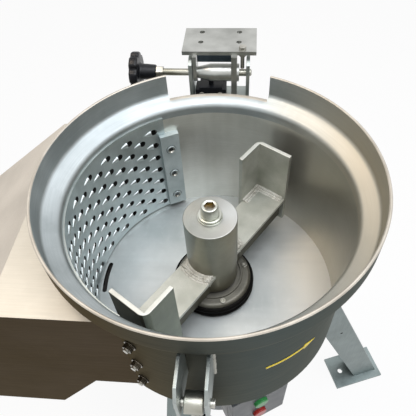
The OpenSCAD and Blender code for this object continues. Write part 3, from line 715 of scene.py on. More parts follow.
# Chute sides, the same sheet, matte: the shaded copy, dark brown painted shade and dark
# reflection, and the sheet's plain grey at the rear
HOOD_SIDE = RolledSteel(
    "dulled_stainless_hood_side", "#564d43", "#463e35", Grain.X, rough=0.55, lines=0.15,
    cloud_mm=90.0, metal=0.98, rear="#8d8f8a", glance="#cbc3b4",
)
# Painted shade, almost black, so that holes read dark: the chute's inside, the drain slot, the
# grater's holes, the leg holes and the clamp strips' undersides
HOOD_INSIDE = RolledSteel(
    "pulp_stained_stainless_hood_inside", "#17140f", "#0c0a08", Grain.X, rough=0.75,
    cloud_mm=60.0, metal=0.2,
)
# Ground plate of the brackets: cool, with upright lines
PLATE = RolledSteel(
    "ground_stainless_plate", "#bfc5c2", "#9aa19e", Grain.Z, rough=0.4, cloud_mm=40.0
)
# Clamp strips, ground and then pickled: cool, paler and less mirror-like than the brackets
STRIP = BlastedSteel(
    "pickled_stainless_strip", "#c8d2d2", "#abb5b5", rough=0.5, grit_mm=2.0, relief=0.05,
    metal=0.5,
)
# Channel of the legs: a duller, faintly green grey
LEG = RolledSteel(
    "pickled_stainless_channel", "#909a99", "#747e7d", Grain.Z, rough=0.45, lines=0.15,
    cloud_mm=40.0,
)
# Turned sleeve of the swing bracket: smooth, with tight highlights
SLEEVE = BrightSteel("turned_stainless_sleeve", "#c6c7c3", "#a2a39f", rough=0.32)
# The swing plate's folded lip, turned away from the light: dark, with a blue cast
LIP = BrightSteel("folded_stainless_lip", "#5d6a76", "#2b3036", rough=0.3)
# Rotor after bead blasting: an even pale grey
BLASTED = BlastedSteel("bead_blasted_stainless", "#c5c6be", "#a4a69d")
# The hub's turned side, blasted over: darker than the plates, and darker and browner towards its
# foot
HUB = BlastedSteel(
    "turned_and_blasted_stainless", "#abaca1", "#8f9086", rough=0.34, relief=0.05, metal=0.95,
    foot="#6a6657", foot_z=(0.57, 0.69),
)
# The hub's top, turned and left bright: neutral, with fine rings that fan the light out, and a
# painted highlight towards +X
HUB_TOP = RolledSteel(
    "turned_stainless_hub_top", "#a6a7a1", "#91928b", rough=0.44, lines=0.25, cloud_mm=24.0,
    metal=0.8, far="#c0c1be", far_x=(-0.02, 0.025),
)
# The paddles' leading faces: painted shade, darker and greener than the rest
RUBBED = BlastedSteel("rubbed_blasted_stainless", "#a2a99f", "#828a80", rough=0.46)
# Painted shade on blasted steel, under the arms and on the paddles' outer faces: darker and greener
STAINED = BlastedSteel("stained_blasted_stainless", "#69675a", "#4a483d", rough=0.52)
# Seal cover, blasted and browned by juice: a dull mid grey
COVER = BlastedSteel("browned_blasted_stainless", "#86847b", "#64625a", rough=0.52)
# Weld metal: whitish and rough
WELD = BlastedSteel(
    "stainless_weld_bead", "#d6d5cd", "#9a978d", rough=0.55, grit_mm=2.4, relief=0.7, metal=0.5
)
# Bright screws and washers: a warm pale grey with crisp highlights
FASTENER = BrightSteel("bright_stainless_fastener", "#cfcdc5", "#a09e96", rough=0.3)
# The hub's screw and washers, zinc plated: a pale grey with a faint olive cast
ZINC = BrightSteel("zinc_plated_steel_screw", "#dbddd5", "#b1b3a8", rough=0.3)
# Nuts outside the drum: dark and bronze-toned
NUT = BrightSteel("weathered_stainless_nut", "#8a8378", "#453f36", rough=0.24)
# Painted shade in the clamp heads' sockets and in the ring round each head: a dull grey
SOCKET = BrightSteel("greasy_steel_socket", "#6f7375", "#4c5052", rough=0.4)
# Turned shaft and pin steel: warm, with a soft sheen
SHAFT = BrightSteel("turned_steel_shaft", "#c0bfb6", "#979689", rough=0.32)
# The hub screw's socket walls: gold patches of copper grease on black, painted shade in the socket
GREASED = BrightSteel("copper_greased_steel", "#8f7235", "#0b0906", rough=0.26, cloud_mm=5.0)
# Seal rubber: deep black and matte
RUBBER = Coating(
    "moulded_nitrile_rubber", "#0d0c0a", "#060505", rough=0.6, grain_mm=1.2, shine=0.1
)
# Knobs, switch and boxes: satin black with a fine moulded grain
BLACK = Coating(
    "moulded_black_polyamide", "#15171c", "#0a0b0e", rough=0.34, grain_mm=0.8, shine=0.3
)
# Cover of the switch box: the same moulding in grey
GREY = Coating("moulded_grey_polyamide", "#54575a", "#45484a", rough=0.42, grain_mm=0.8)
# Buttons: smooth mouldings with a clear shine
GREEN = Coating(
    "moulded_green_button", "#2f8f46", "#237338", rough=0.28, grain_mm=2.0, relief=0.03
)
RED = Coating("moulded_red_button", "#b3261e", "#8e1c16", rough=0.28, grain_mm=2.0, relief=0.03)
# Sprayed paint over cast aluminium: the casting's skin shows through as a coarse grain
PAINT = Coating(
    "grey_paint_on_cast_aluminium", "#75797c", "#63676a", rough=0.45, grain_mm=1.8, relief=0.25
)
# Winding under varnish: brown, with the wires as a coarse grain
WINDING = Coating(
    "varnished_copper_winding", "#8a5a2b", "#5d3a1a", rough=0.35, grain_mm=1.2, relief=0.5
)
# Film of the arrow: clean, even yellow
SIGN = Coating("yellow_vinyl_film", "#f2d51e", "#e0c31a", rough=0.4, grain_mm=3.0, relief=0.02)


Edge = tuple[str, Finish, float]


def coat(mesh: Mesh, *finishes: Finish) -> None:
    """Adds finishes to a mesh, in the order of their numbers."""
    for finish in finishes:
        mesh.materials.append(finish.material())


def eased(
    node: str, finishes: Sequence[Finish], width_mm: float = 0.5, rule: Rule | None = None
) -> None:
    """Shows a solid with its sharp edges broken, as real sheet and plate edges are.

    Args:
        node: solid to copy.
        finishes: one finish or several.
        width_mm: width of the broken edges.
        rule: picks a finish by a face's middle and normal.
    """
    mesh = FRAME["nodes"][node].data.copy()
    shape = bmesh.new()
    shape.from_mesh(mesh)
    bmesh.ops.remove_doubles(shape, verts=shape.verts, dist=COPY_MERGE)
    bmesh.ops.dissolve_limit(
        shape, angle_limit=math.radians(FLAT_DEG), verts=shape.verts, edges=shape.edges
    )
    shape.to_mesh(mesh)
    shape.free()
    mesh.materials.clear()
    coat(mesh, *finishes)
    mesh.shade_smooth()
    obj = linked(mesh, node + "_source")
    bevel = obj.modifiers.new("edges", "BEVEL")
    bevel.limit_method = "ANGLE"
    bevel.angle_limit = math.radians(BREAK_DEG)
    bevel.width = width_mm * MM
    bevel.segments = 2
    bevel.use_clamp_overlap = True
    even = obj.modifiers.new("normals", "WEIGHTED_NORMAL")
    even.weight = 100
    result = evaluated(obj, node + "_mesh")
    if rule:
        for face in result.polygons:
            face.material_index = rule(face.center, face.normal)
    stand_in(result, node)


def dressed(node: str, finish: Finish) -> None:
    """Gives a solid that stays as it is a finish.

    Args:
        node: solid to dress.
        finish: its finish.
    """
    mesh = FRAME["nodes"][node].data
    mesh.materials.clear()
    coat(mesh, finish)
    LOG.info("%s keeps its solid", node)


# Node trees that repeat a shape or follow a path


def new_tree(name: str, sizes: Sequence[str]) -> tuple[Tree, Node, dict[str, Socket]]:
    """Starts a geometry tree with named size inputs.

    Args:
        name: tree name.
        sizes: names of its inputs.

    Returns:
        The tree, its group input with the geometry first, and the input sockets by name.
    """
    tree = bpy.data.node_groups.new(name, "GeometryNodeTree")
    tree.interface.new_socket("Geometry", in_out="INPUT", socket_type="NodeSocketGeometry")
    for size in sizes:
        tree.interface.new_socket(size, in_out="INPUT", socket_type="NodeSocketFloat")
    tree.interface.new_socket("Geometry", in_out="OUTPUT", socket_type="NodeSocketGeometry")
    source = add(tree, "NodeGroupInput")
    return tree, source, {size: source.outputs[size] for size in sizes}


def run_tree(tree: Tree, mesh: Mesh, values: dict[str, float], name: str) -> Mesh:
    """Runs a geometry tree on a mesh.

    Args:
        tree: geometry tree.
        mesh: mesh that it starts from, which is used up.
        values: input name to value.
        name: name of the new mesh.

    Returns:
        The finished plain mesh.
    """
    obj = linked(mesh, name + "_source")
    run = obj.modifiers.new("tree", "NODES")
    run.node_group = tree
    keys = {i.name: i.identifier for i in tree.interface.items_tree if i.in_out == "INPUT"}
    for key, value in values.items():
        run[keys[key]] = float(value)
    return evaluated(obj, name)


class WeldBead:
    """A rippled bead of weld metal along a path.

    Attributes:
        tree: bead's tree, once it is built.
        step_mm: distance between its rings.
        sides: points in a ring.
        lump_mm: size of its lumps.
        swell: least and greatest share of the radius, from lump to lump.
        ripple_mm: distance between its ripples.
        ripple: height of the ripples as a share of the radius.
    """

    tree: Tree | None = None
    step_mm: float = 0.7
    sides: int = 12
    lump_mm: float = 4.0
    swell: Ring = (0.55, 1.4)
    ripple_mm: float = 2.6
    ripple: float = 0.12

    @classmethod
    def built(cls) -> Tree:
        """Builds the bead's tree once: a swept ring whose radius ripples along the path.

        Returns:
            The tree, which starts from a mesh of edges.
        """
        if cls.tree:
            return cls.tree
        tree, source, size = new_tree("weld_bead", ("Radius", "Ripple"))
        curve = add(tree, "GeometryNodeMeshToCurve", {"Mesh": source})
        steps = {"Curve": curve, "Length": cls.step_mm * MM}
        even = add(tree, "GeometryNodeResampleCurve", steps, mode="LENGTH")
        length = add(tree, "GeometryNodeSplineParameter").outputs["Length"]
        count = add(tree, "ShaderNodeMath", {0: length, 1: size["Ripple"]}, operation="DIVIDE")
        turn = add(tree, "ShaderNodeMath", {0: count, 1: TURN}, operation="MULTIPLY")
        wave = add(tree, "ShaderNodeMath", {0: turn}, operation="SINE")
        lumps = pattern(tree, add(tree, "GeometryNodeInputPosition"), cls.lump_mm, 1.0)
        thick = {"Value": lumps, "To Min": cls.swell[0], "To Max": cls.swell[1]}
        swell = add(tree, "ShaderNodeMapRange", thick)
        waved = {0: wave, 1: cls.ripple, 2: swell}
        ripple = add(tree, "ShaderNodeMath", waved, operation="MULTIPLY_ADD")
        radius = add(tree, "ShaderNodeMath", {0: ripple, 1: size["Radius"]}, operation="MULTIPLY")
        ring = {"Resolution": cls.sides, "Radius": 1.0}
        profile = add(tree, "GeometryNodeCurvePrimitiveCircle", ring)
        swept = {"Curve": even, "Profile Curve": profile, "Fill Caps": True, "Scale": radius}
        sweep = add(tree, "GeometryNodeCurveToMesh", swept)
        smooth = add(tree, "GeometryNodeSetShadeSmooth", {"Geometry": sweep})
        plain = add(tree, "GeometryNodeRealizeInstances", {"Geometry": smooth})
        weld = {"Geometry": plain, "Material": WELD.material()}
        metal = add(tree, "GeometryNodeSetMaterial", weld)
        add(tree, "NodeGroupOutput", {"Geometry": metal})
        cls.tree = tree
        return tree

    @classmethod
    def laid(
        cls, name: str, paths: Sequence[Sequence[Point]], radius: float, body: str, slot: str
    ) -> None:
        """Lays beads along paths.

        Args:
            name: piece name.
            paths: points of each bead in metres.
            radius: half of a bead's width.
            body: body that the beads move with.
            slot: material slot of the record; not used.
        """
        mesh = bpy.data.meshes.new(name + "_path")
        points: list[Point] = []
        edges: list[tuple[int, int]] = []
        for path in paths:
            first = len(points)
            points += path
            edges += [(first + i, first + i + 1) for i in range(len(path) - 1)]
        mesh.from_pydata(points, edges, [])
        values = {"Radius": radius, "Ripple": cls.ripple_mm * MM}
        piece(run_tree(cls.built(), mesh, values, name + "_mesh"), name, body)


def circle_path(
    radius: float, z: float, start_deg: float, end_deg: float, steps: int = 24
) -> list[Point]:
    """Lists points on an arc round the rotor axis.

    Args:
        radius: arc radius.
        z: height.
        start_deg: first angle.
        end_deg: last angle.
        steps: number of pieces.

    Returns:
        Points from the first angle to the last.
    """
    turns = [math.radians(start_deg + (end_deg - start_deg) * i / steps) for i in range(steps + 1)]
    return [(radius * math.cos(a), radius * math.sin(a), z) for a in turns]


# Sub-assemblies


@dataclass
class Drum:
    """The drum: spun rim, shell, floor and the sign on its outside.

    Attributes:
        rim_z: height of the rim's top edge.
        inside: inside radius of the shell.
        outside: outside radius of the shell.
        step: distance that the rim stands out from the shell.
        wall: depth of the rim's straight wall.
        shoulder: depth of its sloping shoulder.
        bend: bending radius above the shoulder.
        curl: bending radius below the shoulder.
        bend_parts: pieces of each bend.
        collar: depth of the whole rim.
        notch: depth of the rear notch.
        notch_half_deg: half of the notch's angle.
        notch_parts: pieces of the rim along the notch.
        parts: pieces all round the rim.
        burr: rounding of the rim's top edge.
        slot: radii between which the drain slot's walls lie.
        arrow_deg: direction of the arrow's tip.
        arrow_drop: depth of the arrow under the rim.
        arrow_l: length of the arrow.
        arrow_half: half of its shaft's width.
        head_l: length of its head.
        head_half: half of the head's width.
        film: thickness of its film.
    """

    rim_z: float = 0.760
    inside: float = 0.154
    outside: float = 0.157
    step: float = 0.018
    wall: float = 0.027
    shoulder: float = 0.012
    bend: float = 0.007
    curl: float = 0.008
    bend_parts: int = 8
    collar: float = 0.050
    notch: float = 0.032
    notch_half_deg: float = 21.5
    notch_parts: int = 28
    parts: int = 240
    burr: float = 0.0009
    slot: Ring = (0.139, 0.1515)
    arrow_deg: float = -43.5
    arrow_drop: float = 0.128
    arrow_l: float = 0.062
    arrow_half: float = 0.0022
    head_l: float = 0.017
    head_half: float = 0.0065
    film: float = 0.00015

    def build(self) -> None:
        """Builds and dresses the drum."""
        middle = (self.inside + self.outside) / 2

        def side(centre: Vector, normal: Vector) -> int:
            """Returns 1 for the shell's outside."""
            return int(math.hypot(centre.x, centre.y) > middle)

        def slot(centre: Vector, normal: Vector) -> int:
            """Returns 1 for the drain slot's walls, which get painted shade."""
            radius = math.hypot(centre.x, centre.y)
            return int(abs(normal.z) < 0.5 and self.slot[0] < radius < self.slot[1])

        self.rim()
        eased("drum_shell", [DRUM_INSIDE, DRUM_OUTSIDE], 0.1, side)
        eased("drum_floor", [FLOOR, HOOD_INSIDE], 0.6, slot)
        self.arrow()

    def arc(self, centre: Ring, radius: float, first: float, last: float) -> list[Ring]:
        """Lists points of a bend in the rim's profile.

        Args:
            centre: middle of the bend.
            radius: its radius.
            first: first angle.
            last: last angle.

        Returns:
            Points from the first angle to the last.
        """
        turns = [first + (last - first) * i / self.bend_parts for i in range(self.bend_parts + 1)]
        return [(centre[0] + radius * math.cos(a), centre[1] + radius * math.sin(a)) for a in turns]

    def skin(self, off: float, lip: float) -> list[Ring]:
        """Lists one skin of the rim from its top edge down.

        Args:
            off: 0 for the inner skin, the sheet's thickness for the outer one.
            lip: way from the skin to the flat of the top edge.

        Returns:
            Radius and height below the top edge, with a point at the notch's depth.
        """
        slope = math.atan2(self.shoulder, self.step)
        lift = (1 - math.sin(slope)) / math.cos(slope)
        high = (self.inside + self.step - self.bend, -self.wall + self.bend * lift)
        low = (self.inside + self.curl, -self.wall - self.shoulder - self.curl * lift)
        top = self.inside + self.step + off
        upper = self.arc(high, self.bend + off, 0.0, slope - math.pi / 2)
        lower = self.arc(low, self.curl - off, math.pi / 2 + slope, math.pi)
        share = (upper[-1][1] + self.notch) / (upper[-1][1] - lower[0][1])
        edge = (upper[-1][0] + (lower[0][0] - upper[-1][0]) * share, -self.notch)
        foot = (self.inside + off, -self.collar)
        return [(top + lip, 0.0), (top, -self.burr), *upper, edge, *lower, foot]

    def rim(self) -> None:
        """Builds the rim on rings of points that meet the notch's edges exactly."""
        inner = self.skin(0.0, self.burr)
        loop = inner + self.skin(self.outside - self.inside, -self.burr)[::-1]
        last = len(loop) - 1
        cut = next(i for i, p in enumerate(inner) if abs(p[1] + self.notch) < 1e-9)
        few, rest = self.notch_parts, self.parts - self.notch_parts
        half = math.radians(self.notch_half_deg)
        start = math.pi / 2 - half
        turns = [start + 2 * half * i / few for i in range(few)]
        turns += [start + 2 * half + (TURN - 2 * half) * i / rest for i in range(rest)]
        points = [
            (r * math.cos(a), r * math.sin(a), self.rim_z + z) for r, z in loop for a in turns
        ]

        def at(i: int, j: int) -> int:
            """Returns the number of a point by its place in the profile and round the rim."""
            return i % (last + 1) * self.parts + j % self.parts

        def quad(i: int, k: int, j: int, n: int) -> tuple[int, ...]:
            """Returns the corners between two places in the profile and two round the rim."""
            return (at(i, j), at(i, n), at(k, n), at(k, j))

        faces = [
            quad(i, i + 1, j, j + 1)
            for i in range(last + 1)
            for j in range(self.parts)
            if j >= few or cut <= i < last - cut
        ]
        faces += [quad(cut, last - cut, j, j + 1) for j in range(few)]
        for j in (0, few):
            faces += [
                (at(i, j), at(i + 1, j), at(last - i - 1, j), at(last - i, j)) for i in range(cut)
            ]
        mesh = mesh_of("rim_ring_mesh", points, faces)
        coat(mesh, RIM, DRUM_OUTSIDE, EDGE)
        for face in mesh.polygons:
            out = Vector((face.center.x, face.center.y, 0)).normalized()
            across = abs(face.normal.cross(out).z) > 0.7
            on_top = face.normal.z > 0.3 and face.center.z > self.rim_z - 1.5 * self.burr
            # The top edge and the notch's ends take the pale edge finish, a painted highlight on
            # the top edge
            cut_edge = across or on_top or face.normal.z > 0.9
            face.material_index = 2 if cut_edge else int(face.normal.dot(out) > 0.2)
        stand_in(mesh, "rim_ring")

    def arrow(self) -> None:
        """Sticks a plain arrow on the drum's outside that shows which way the rotor turns."""
        radius, z = self.outside + self.film, self.rim_z - self.arrow_drop
        rows = 40
        points: list[Point] = []
        for i in range(rows + 1):
            along = -self.arrow_l * i / rows
            top = self.arrow_half if along < -self.head_l else self.head_half * -along / self.head_l
            for level in (top, -top):
                angle = math.radians(self.arrow_deg) + along / radius
                points.append((radius * math.cos(angle), radius * math.sin(angle), z + level))
        faces = [(2 * i, 2 * i + 1, 2 * i + 3, 2 * i + 2) for i in range(rows)]
        mesh = mesh_of("rotation_arrow_mesh", points, faces)
        coat(mesh, SIGN)
        obj = linked(mesh, "arrow_source")
        film = obj.modifiers.new("film", "SOLIDIFY")
        film.thickness, film.offset = self.film, 0.0
        sheet = evaluated(obj, "rotation_arrow_mesh")
        piece(sheet, "rotation_arrow", "frame")


@dataclass
class ClampHeads:
    """The low heads of the clamp screws, each with a wide countersink round its hexagon socket.

    Attributes:
        strip_deg: angle from the grater's middle to a clamp strip's middle.
        face: distance from the axis to a strip's face.
        high: height of a strip's top screw.
        pitch: distance between its screws.
        count: screws in a strip.
        gap: radius of the dark gap round a head, a ring of painted shade.
        wide: head radius.
        brow: head radius at its top.
        mouth: radius of the countersink.
        key: corner radius of the socket.
        sunk: depth of the gap's wall in the strip.
        film: height of the gap's floor over the strip's face.
        side: height of the head's straight side.
        proud: height of the head.
        deep: height of the socket's floor.
        ease: rounding of the head's edges.
    """

    strip_deg: float = 64.6
    face: float = 0.14574
    high: float = 0.665
    pitch: float = 0.0445
    count: int = 3
    gap: float = 0.0068
    wide: float = 0.0061
    brow: float = 0.0056
    mouth: float = 0.0047
    key: float = 0.0034
    sunk: float = 0.0003
    film: float = 0.00006
    side: float = 0.0012
    proud: float = 0.0016
    deep: float = 0.00005
    ease: float = 0.0003

    def build(self) -> None:
        """Sets a head on each clamp screw."""
        values = {"Face": self.face, "High": self.high, "Pitch": -self.pitch}
        values["Turn"] = math.radians(self.strip_deg)
        mesh = run_tree(self.tree(), self.head(), values, "clamp_screw_heads_mesh")
        piece(mesh, "clamp_screw_heads", "frame")

    def head(self) -> Mesh:
        """Turns one head, which stands on the origin.

        Returns:
            The head with its finishes.
        """
        foot, wall = self.film + 0.01 * MM, self.deep + 0.1 * MM
        crown = [(self.wide, foot), (self.wide, self.side)]
        crown += [(self.brow, self.proud), (self.mouth, self.proud)]
        profile = [(self.gap, -self.sunk), (self.gap, self.film), (self.wide, self.film)]
        profile += rounded(crown, self.ease)
        profile += [(self.key, wall), (self.key, self.deep), (POLE, self.deep)]
        shape = socket(self.key, self.deep)
        mesh = lathe("clamp_screw_head", profile, Matrix(), steps=36, shape=shape)
        coat(mesh, STRIP, FASTENER, SOCKET)
        for face in mesh.polygons:
            reach = math.hypot(face.center.x, face.center.y)
            # Painted shade in the ring round the head and on the socket's floor
            dark = reach > self.wide or reach < 0.8 * self.key
            face.material_index = 2 if dark else int(reach < self.mouth)
        return mesh

    def tree(self) -> Tree:
        """Builds the tree: a row of heads down each strip.

        Returns:
            The tree, which starts from one head that has its materials.
        """
        tree, source, size = new_tree("clamp_screw_heads", ("Face", "High", "Pitch", "Turn"))
        start = add(tree, "ShaderNodeCombineXYZ", {"X": size["Face"], "Z": size["High"]})
        step = add(tree, "ShaderNodeCombineXYZ", {"Z": size["Pitch"]})
        line = {"Count": self.count, "Start Location": start, "Offset": step}
        spots = add(tree, "GeometryNodeMeshLine", line)
        inward = {"Points": spots, "Instance": source, "Rotation": (0, -math.pi / 2, 0)}
        row = add(tree, "GeometryNodeInstanceOnPoints", inward)
        both = add(tree, "GeometryNodeJoinGeometry")
        for side in (-1, 1):
            angle = {0: size["Turn"], 1: side, 2: math.pi}
            turn = add(tree, "ShaderNodeMath", angle, operation="MULTIPLY_ADD")
            way = add(tree, "ShaderNodeCombineXYZ", {"Z": turn})
            strip = add(tree, "GeometryNodeTransform", {"Geometry": row, "Rotation": way})
            tree.links.new(strip.outputs[0], both.inputs[0])
        plain = add(tree, "GeometryNodeRealizeInstances", {"Geometry": both})
        add(tree, "NodeGroupOutput", {"Geometry": plain})
        return tree


@dataclass
class Grater:
    """The grater plate with its punched teeth, the clamp strips and their screws.

    Attributes:
        radius: radius of the plate's face.
        sheet: sheet thickness.
        low: height of its lower edge.
        high: height of its upper edge.
        half_deg: half of its angle.
        parts: points along the plate.
        first_deg: direction of the first column of teeth.
        column_deg: angle between columns.
        columns: number of columns.
        row_z: height of the top row.
        row_pitch: distance between the rows of a column.
        rows: teeth in a long column.
        hole: hole radius.
        rise: height of a tooth.
        wide: half of a tooth's width at its mouth.
        mouth: distance from a hole's middle to the tooth's mouth.
        length: distance from a hole's middle to the tooth's tail.
        taper: power by which a tooth narrows towards its tail.
        skin: thickness of a tooth.
        sharp_deg: angle above which the plate's edges are sharp.
        rim: height of the plate's edge faces.
    """

    radius: float = 0.152
    sheet: float = 0.002
    low: float = 0.552
    high: float = 0.714
    half_deg: float = 62.92
    parts: int = 181
    first_deg: float = 122.506
    column_deg: float = 6.672
    columns: int = 17
    row_z: float = 0.697
    row_pitch: float = 0.0223
    rows: int = 7
    hole: float = 0.0043
    rise: float = 0.0026
    wide: float = 0.0043
    mouth: float = 0.0038
    length: float = 0.014
    taper: float = 0.75
    skin: float = 0.0008
    sharp_deg: float = 45.0
    rim: float = 0.0005

    def build(self) -> None:
        """Builds and dresses the grater."""
        values = {"Hole": self.hole, "Rise": self.rise, "Wide": self.wide, "Mouth": self.mouth}
        values |= {"Length": self.length - self.mouth, "Radius": self.radius}
        mesh = run_tree(self.tree(), self.places(), values, "grater_plate_mesh")
        mesh.set_sharp_from_angle(angle=math.radians(self.sharp_deg))
        self.stain(mesh)
        stand_in(mesh, "grater_plate")

        def under(centre: Vector, normal: Vector) -> int:
            """Returns 1 for a strip's underside, which gets painted shade."""
            return int(normal.z < -0.5)

        for node in ("rear_clamp_strip", "front_clamp_strip"):
            eased(node, [STRIP, HOOD_INSIDE], 0.7, under)
        eased("strip_screws", [FASTENER], 0.3)
        ClampHeads().build()
        eased("strip_washers", [NUT], 0.2)
        eased("strip_nuts", [NUT], 0.4)

    def stain(self, mesh: Mesh) -> None:
        """Paints shade on the holes' walls and gives the top edge the colour of ground plate.

        Args:
            mesh: finished plate with its teeth.
        """
        steel = mesh.materials.find(GRATER.name)
        first = len(mesh.materials)
        coat(mesh, HOOD_INSIDE, PLATE)
        for face in mesh.polygons:
            out = Vector((face.center.x, face.center.y, 0)).normalized()
            if face.material_index != steel or abs(face.normal.dot(out)) >= 0.5:
                continue
            if face.center.z > self.high - self.rim:
                face.material_index = first + 1
            elif face.center.z > self.low + self.rim:
                face.material_index = first

    def places(self) -> Mesh:
        """Marks each tooth's hole on the unrolled plate.

        Returns:
            A mesh of points.
        """
        points = []
        for c in range(self.columns):
            along = math.radians(self.first_deg + c * self.column_deg - 180) * self.radius
            odd = c % 2
            for k in range(self.rows - odd):
                points.append((along, self.row_z - (k + odd / 2) * self.row_pitch, 0.0))
        mesh = bpy.data.meshes.new("tooth_places")
        mesh.from_pydata(points, [], [])
        return mesh

    def tree(self) -> Tree:
        """Builds the tree: a holed flat plate and a shell tooth at each hole, bent to the drum.

        Returns:
            The tree, which starts from a mesh of points.
        """
        names = ("Hole", "Rise", "Wide", "Mouth", "Length", "Radius")
        tree, spots, size = new_tree("grater", names)
        bit = {"Vertices": 14, "Radius": size["Hole"], "Depth": 8 * self.sheet}
        drill = add(tree, "GeometryNodeMeshCylinder", bit)
        drills = add(tree, "GeometryNodeInstanceOnPoints", {"Points": spots, "Instance": drill})
        cutters = add(tree, "GeometryNodeRealizeInstances", {"Geometry": drills})
        box = (2 * math.radians(self.half_deg) * self.radius, self.high - self.low, self.sheet)
        blank = {"Size": box, "Vertices X": self.parts, "Vertices Y": 2}
        flat = add(tree, "GeometryNodeMeshCube", blank)
        middle = (0.0, (self.high + self.low) / 2, -self.sheet / 2)
        plate = add(tree, "GeometryNodeTransform", {"Geometry": flat, "Translation": middle})
        pair = {"Mesh 1": plate, "Mesh 2": cutters}
        holed = add(
            tree, "GeometryNodeMeshBoolean", pair, operation="DIFFERENCE", solver="MANIFOLD"
        )
        sheet = {"Geometry": holed, "Material": GRATER.material()}
        steel = add(tree, "GeometryNodeSetMaterial", sheet)
        shells = {"Points": spots, "Instance": self.tooth(tree, size)}
        teeth = add(tree, "GeometryNodeInstanceOnPoints", shells)
        both = add(tree, "GeometryNodeJoinGeometry", {"Geometry": steel})
        tree.links.new(teeth.outputs[0], both.inputs[0])
        plain = add(tree, "GeometryNodeRealizeInstances", {"Geometry": both})
        place = add(tree, "GeometryNodeInputPosition")
        x, y, z = add(tree, "ShaderNodeSeparateXYZ", {"Vector": place}).outputs
        arc = add(tree, "ShaderNodeMath", {0: x, 1: size["Radius"]}, operation="DIVIDE")
        angle = add(tree, "ShaderNodeMath", {0: arc, 1: math.pi}, operation="ADD")
        radius = add(tree, "ShaderNodeMath", {0: size["Radius"], 1: z}, operation="SUBTRACT")
        bent: dict[str, Link] = {"Z": y}
        for axis, wave in (("X", "COSINE"), ("Y", "SINE")):
            part = add(tree, "ShaderNodeMath", {0: angle}, operation=wave)
            bent[axis] = add(tree, "ShaderNodeMath", {0: part, 1: radius}, operation="MULTIPLY")
        moved = add(tree, "ShaderNodeCombineXYZ", bent)
        curved = add(tree, "GeometryNodeSetPosition", {"Geometry": plain, "Position": moved})
        turned = add(tree, "GeometryNodeFlipFaces", {"Mesh": curved})
        smooth = add(tree, "GeometryNodeSetShadeSmooth", {"Geometry": turned})
        add(tree, "NodeGroupOutput", {"Geometry": smooth})
        return tree

    def tooth(self, tree: Tree, size: dict[str, Socket]) -> Node:
        """Adds one tooth, a half teardrop of sheet that is open at its mouth.

        Args:
            tree: grater's tree.
            size: its input sockets.

        Returns:
            The tooth, with its hole's middle at the origin and its tail on +X.
        """
        mesh = {"Size X": 1.0, "Size Y": 1.0, "Vertices X": 9, "Vertices Y": 9}
        grid = add(tree, "GeometryNodeMeshGrid", mesh)
        place = add(tree, "GeometryNodeInputPosition")
        x, y, _ = add(tree, "ShaderNodeSeparateXYZ", {"Vector": place}).outputs
        gone = add(tree, "ShaderNodeMath", {0: x, 1: 0.5}, operation="ADD")
        left = add(tree, "ShaderNodeMath", {0: 1.0, 1: gone}, operation="SUBTRACT")
        slim = add(tree, "ShaderNodeMath", {0: left, 1: self.taper}, operation="POWER")
        turn = add(tree, "ShaderNodeMath", {0: y, 1: math.pi}, operation="MULTIPLY")
        run = {0: gone, 1: size["Length"], 2: size["Mouth"]}
        shape = {"X": add(tree, "ShaderNodeMath", run, operation="MULTIPLY_ADD")}
        for axis, most, wave in (("Y", "Wide", "SINE"), ("Z", "Rise", "COSINE")):
            reach = add(tree, "ShaderNodeMath", {0: slim, 1: size[most]}, operation="MULTIPLY")
            part = add(tree, "ShaderNodeMath", {0: turn}, operation=wave)
            shape[axis] = add(tree, "ShaderNodeMath", {0: reach, 1: part}, operation="MULTIPLY")
        moved = add(tree, "ShaderNodeCombineXYZ", shape)
        outer = add(tree, "GeometryNodeSetPosition", {"Geometry": grid, "Position": moved})
        wall = {"Mesh": outer, "Offset Scale": -self.skin, "Individual": False}
        inner = add(tree, "GeometryNodeExtrudeMesh", wall, mode="FACES")
        lining = add(tree, "GeometryNodeFlipFaces", {"Mesh": inner})
        both = add(tree, "GeometryNodeJoinGeometry", {"Geometry": outer})
        tree.links.new(lining.outputs[0], both.inputs[0])
        merged = {"Geometry": both, "Distance": COPY_MERGE}
        whole = add(tree, "GeometryNodeMergeByDistance", merged)
        pale = {"Geometry": whole, "Material": TOOTH.material()}
        return add(tree, "GeometryNodeSetMaterial", pale)


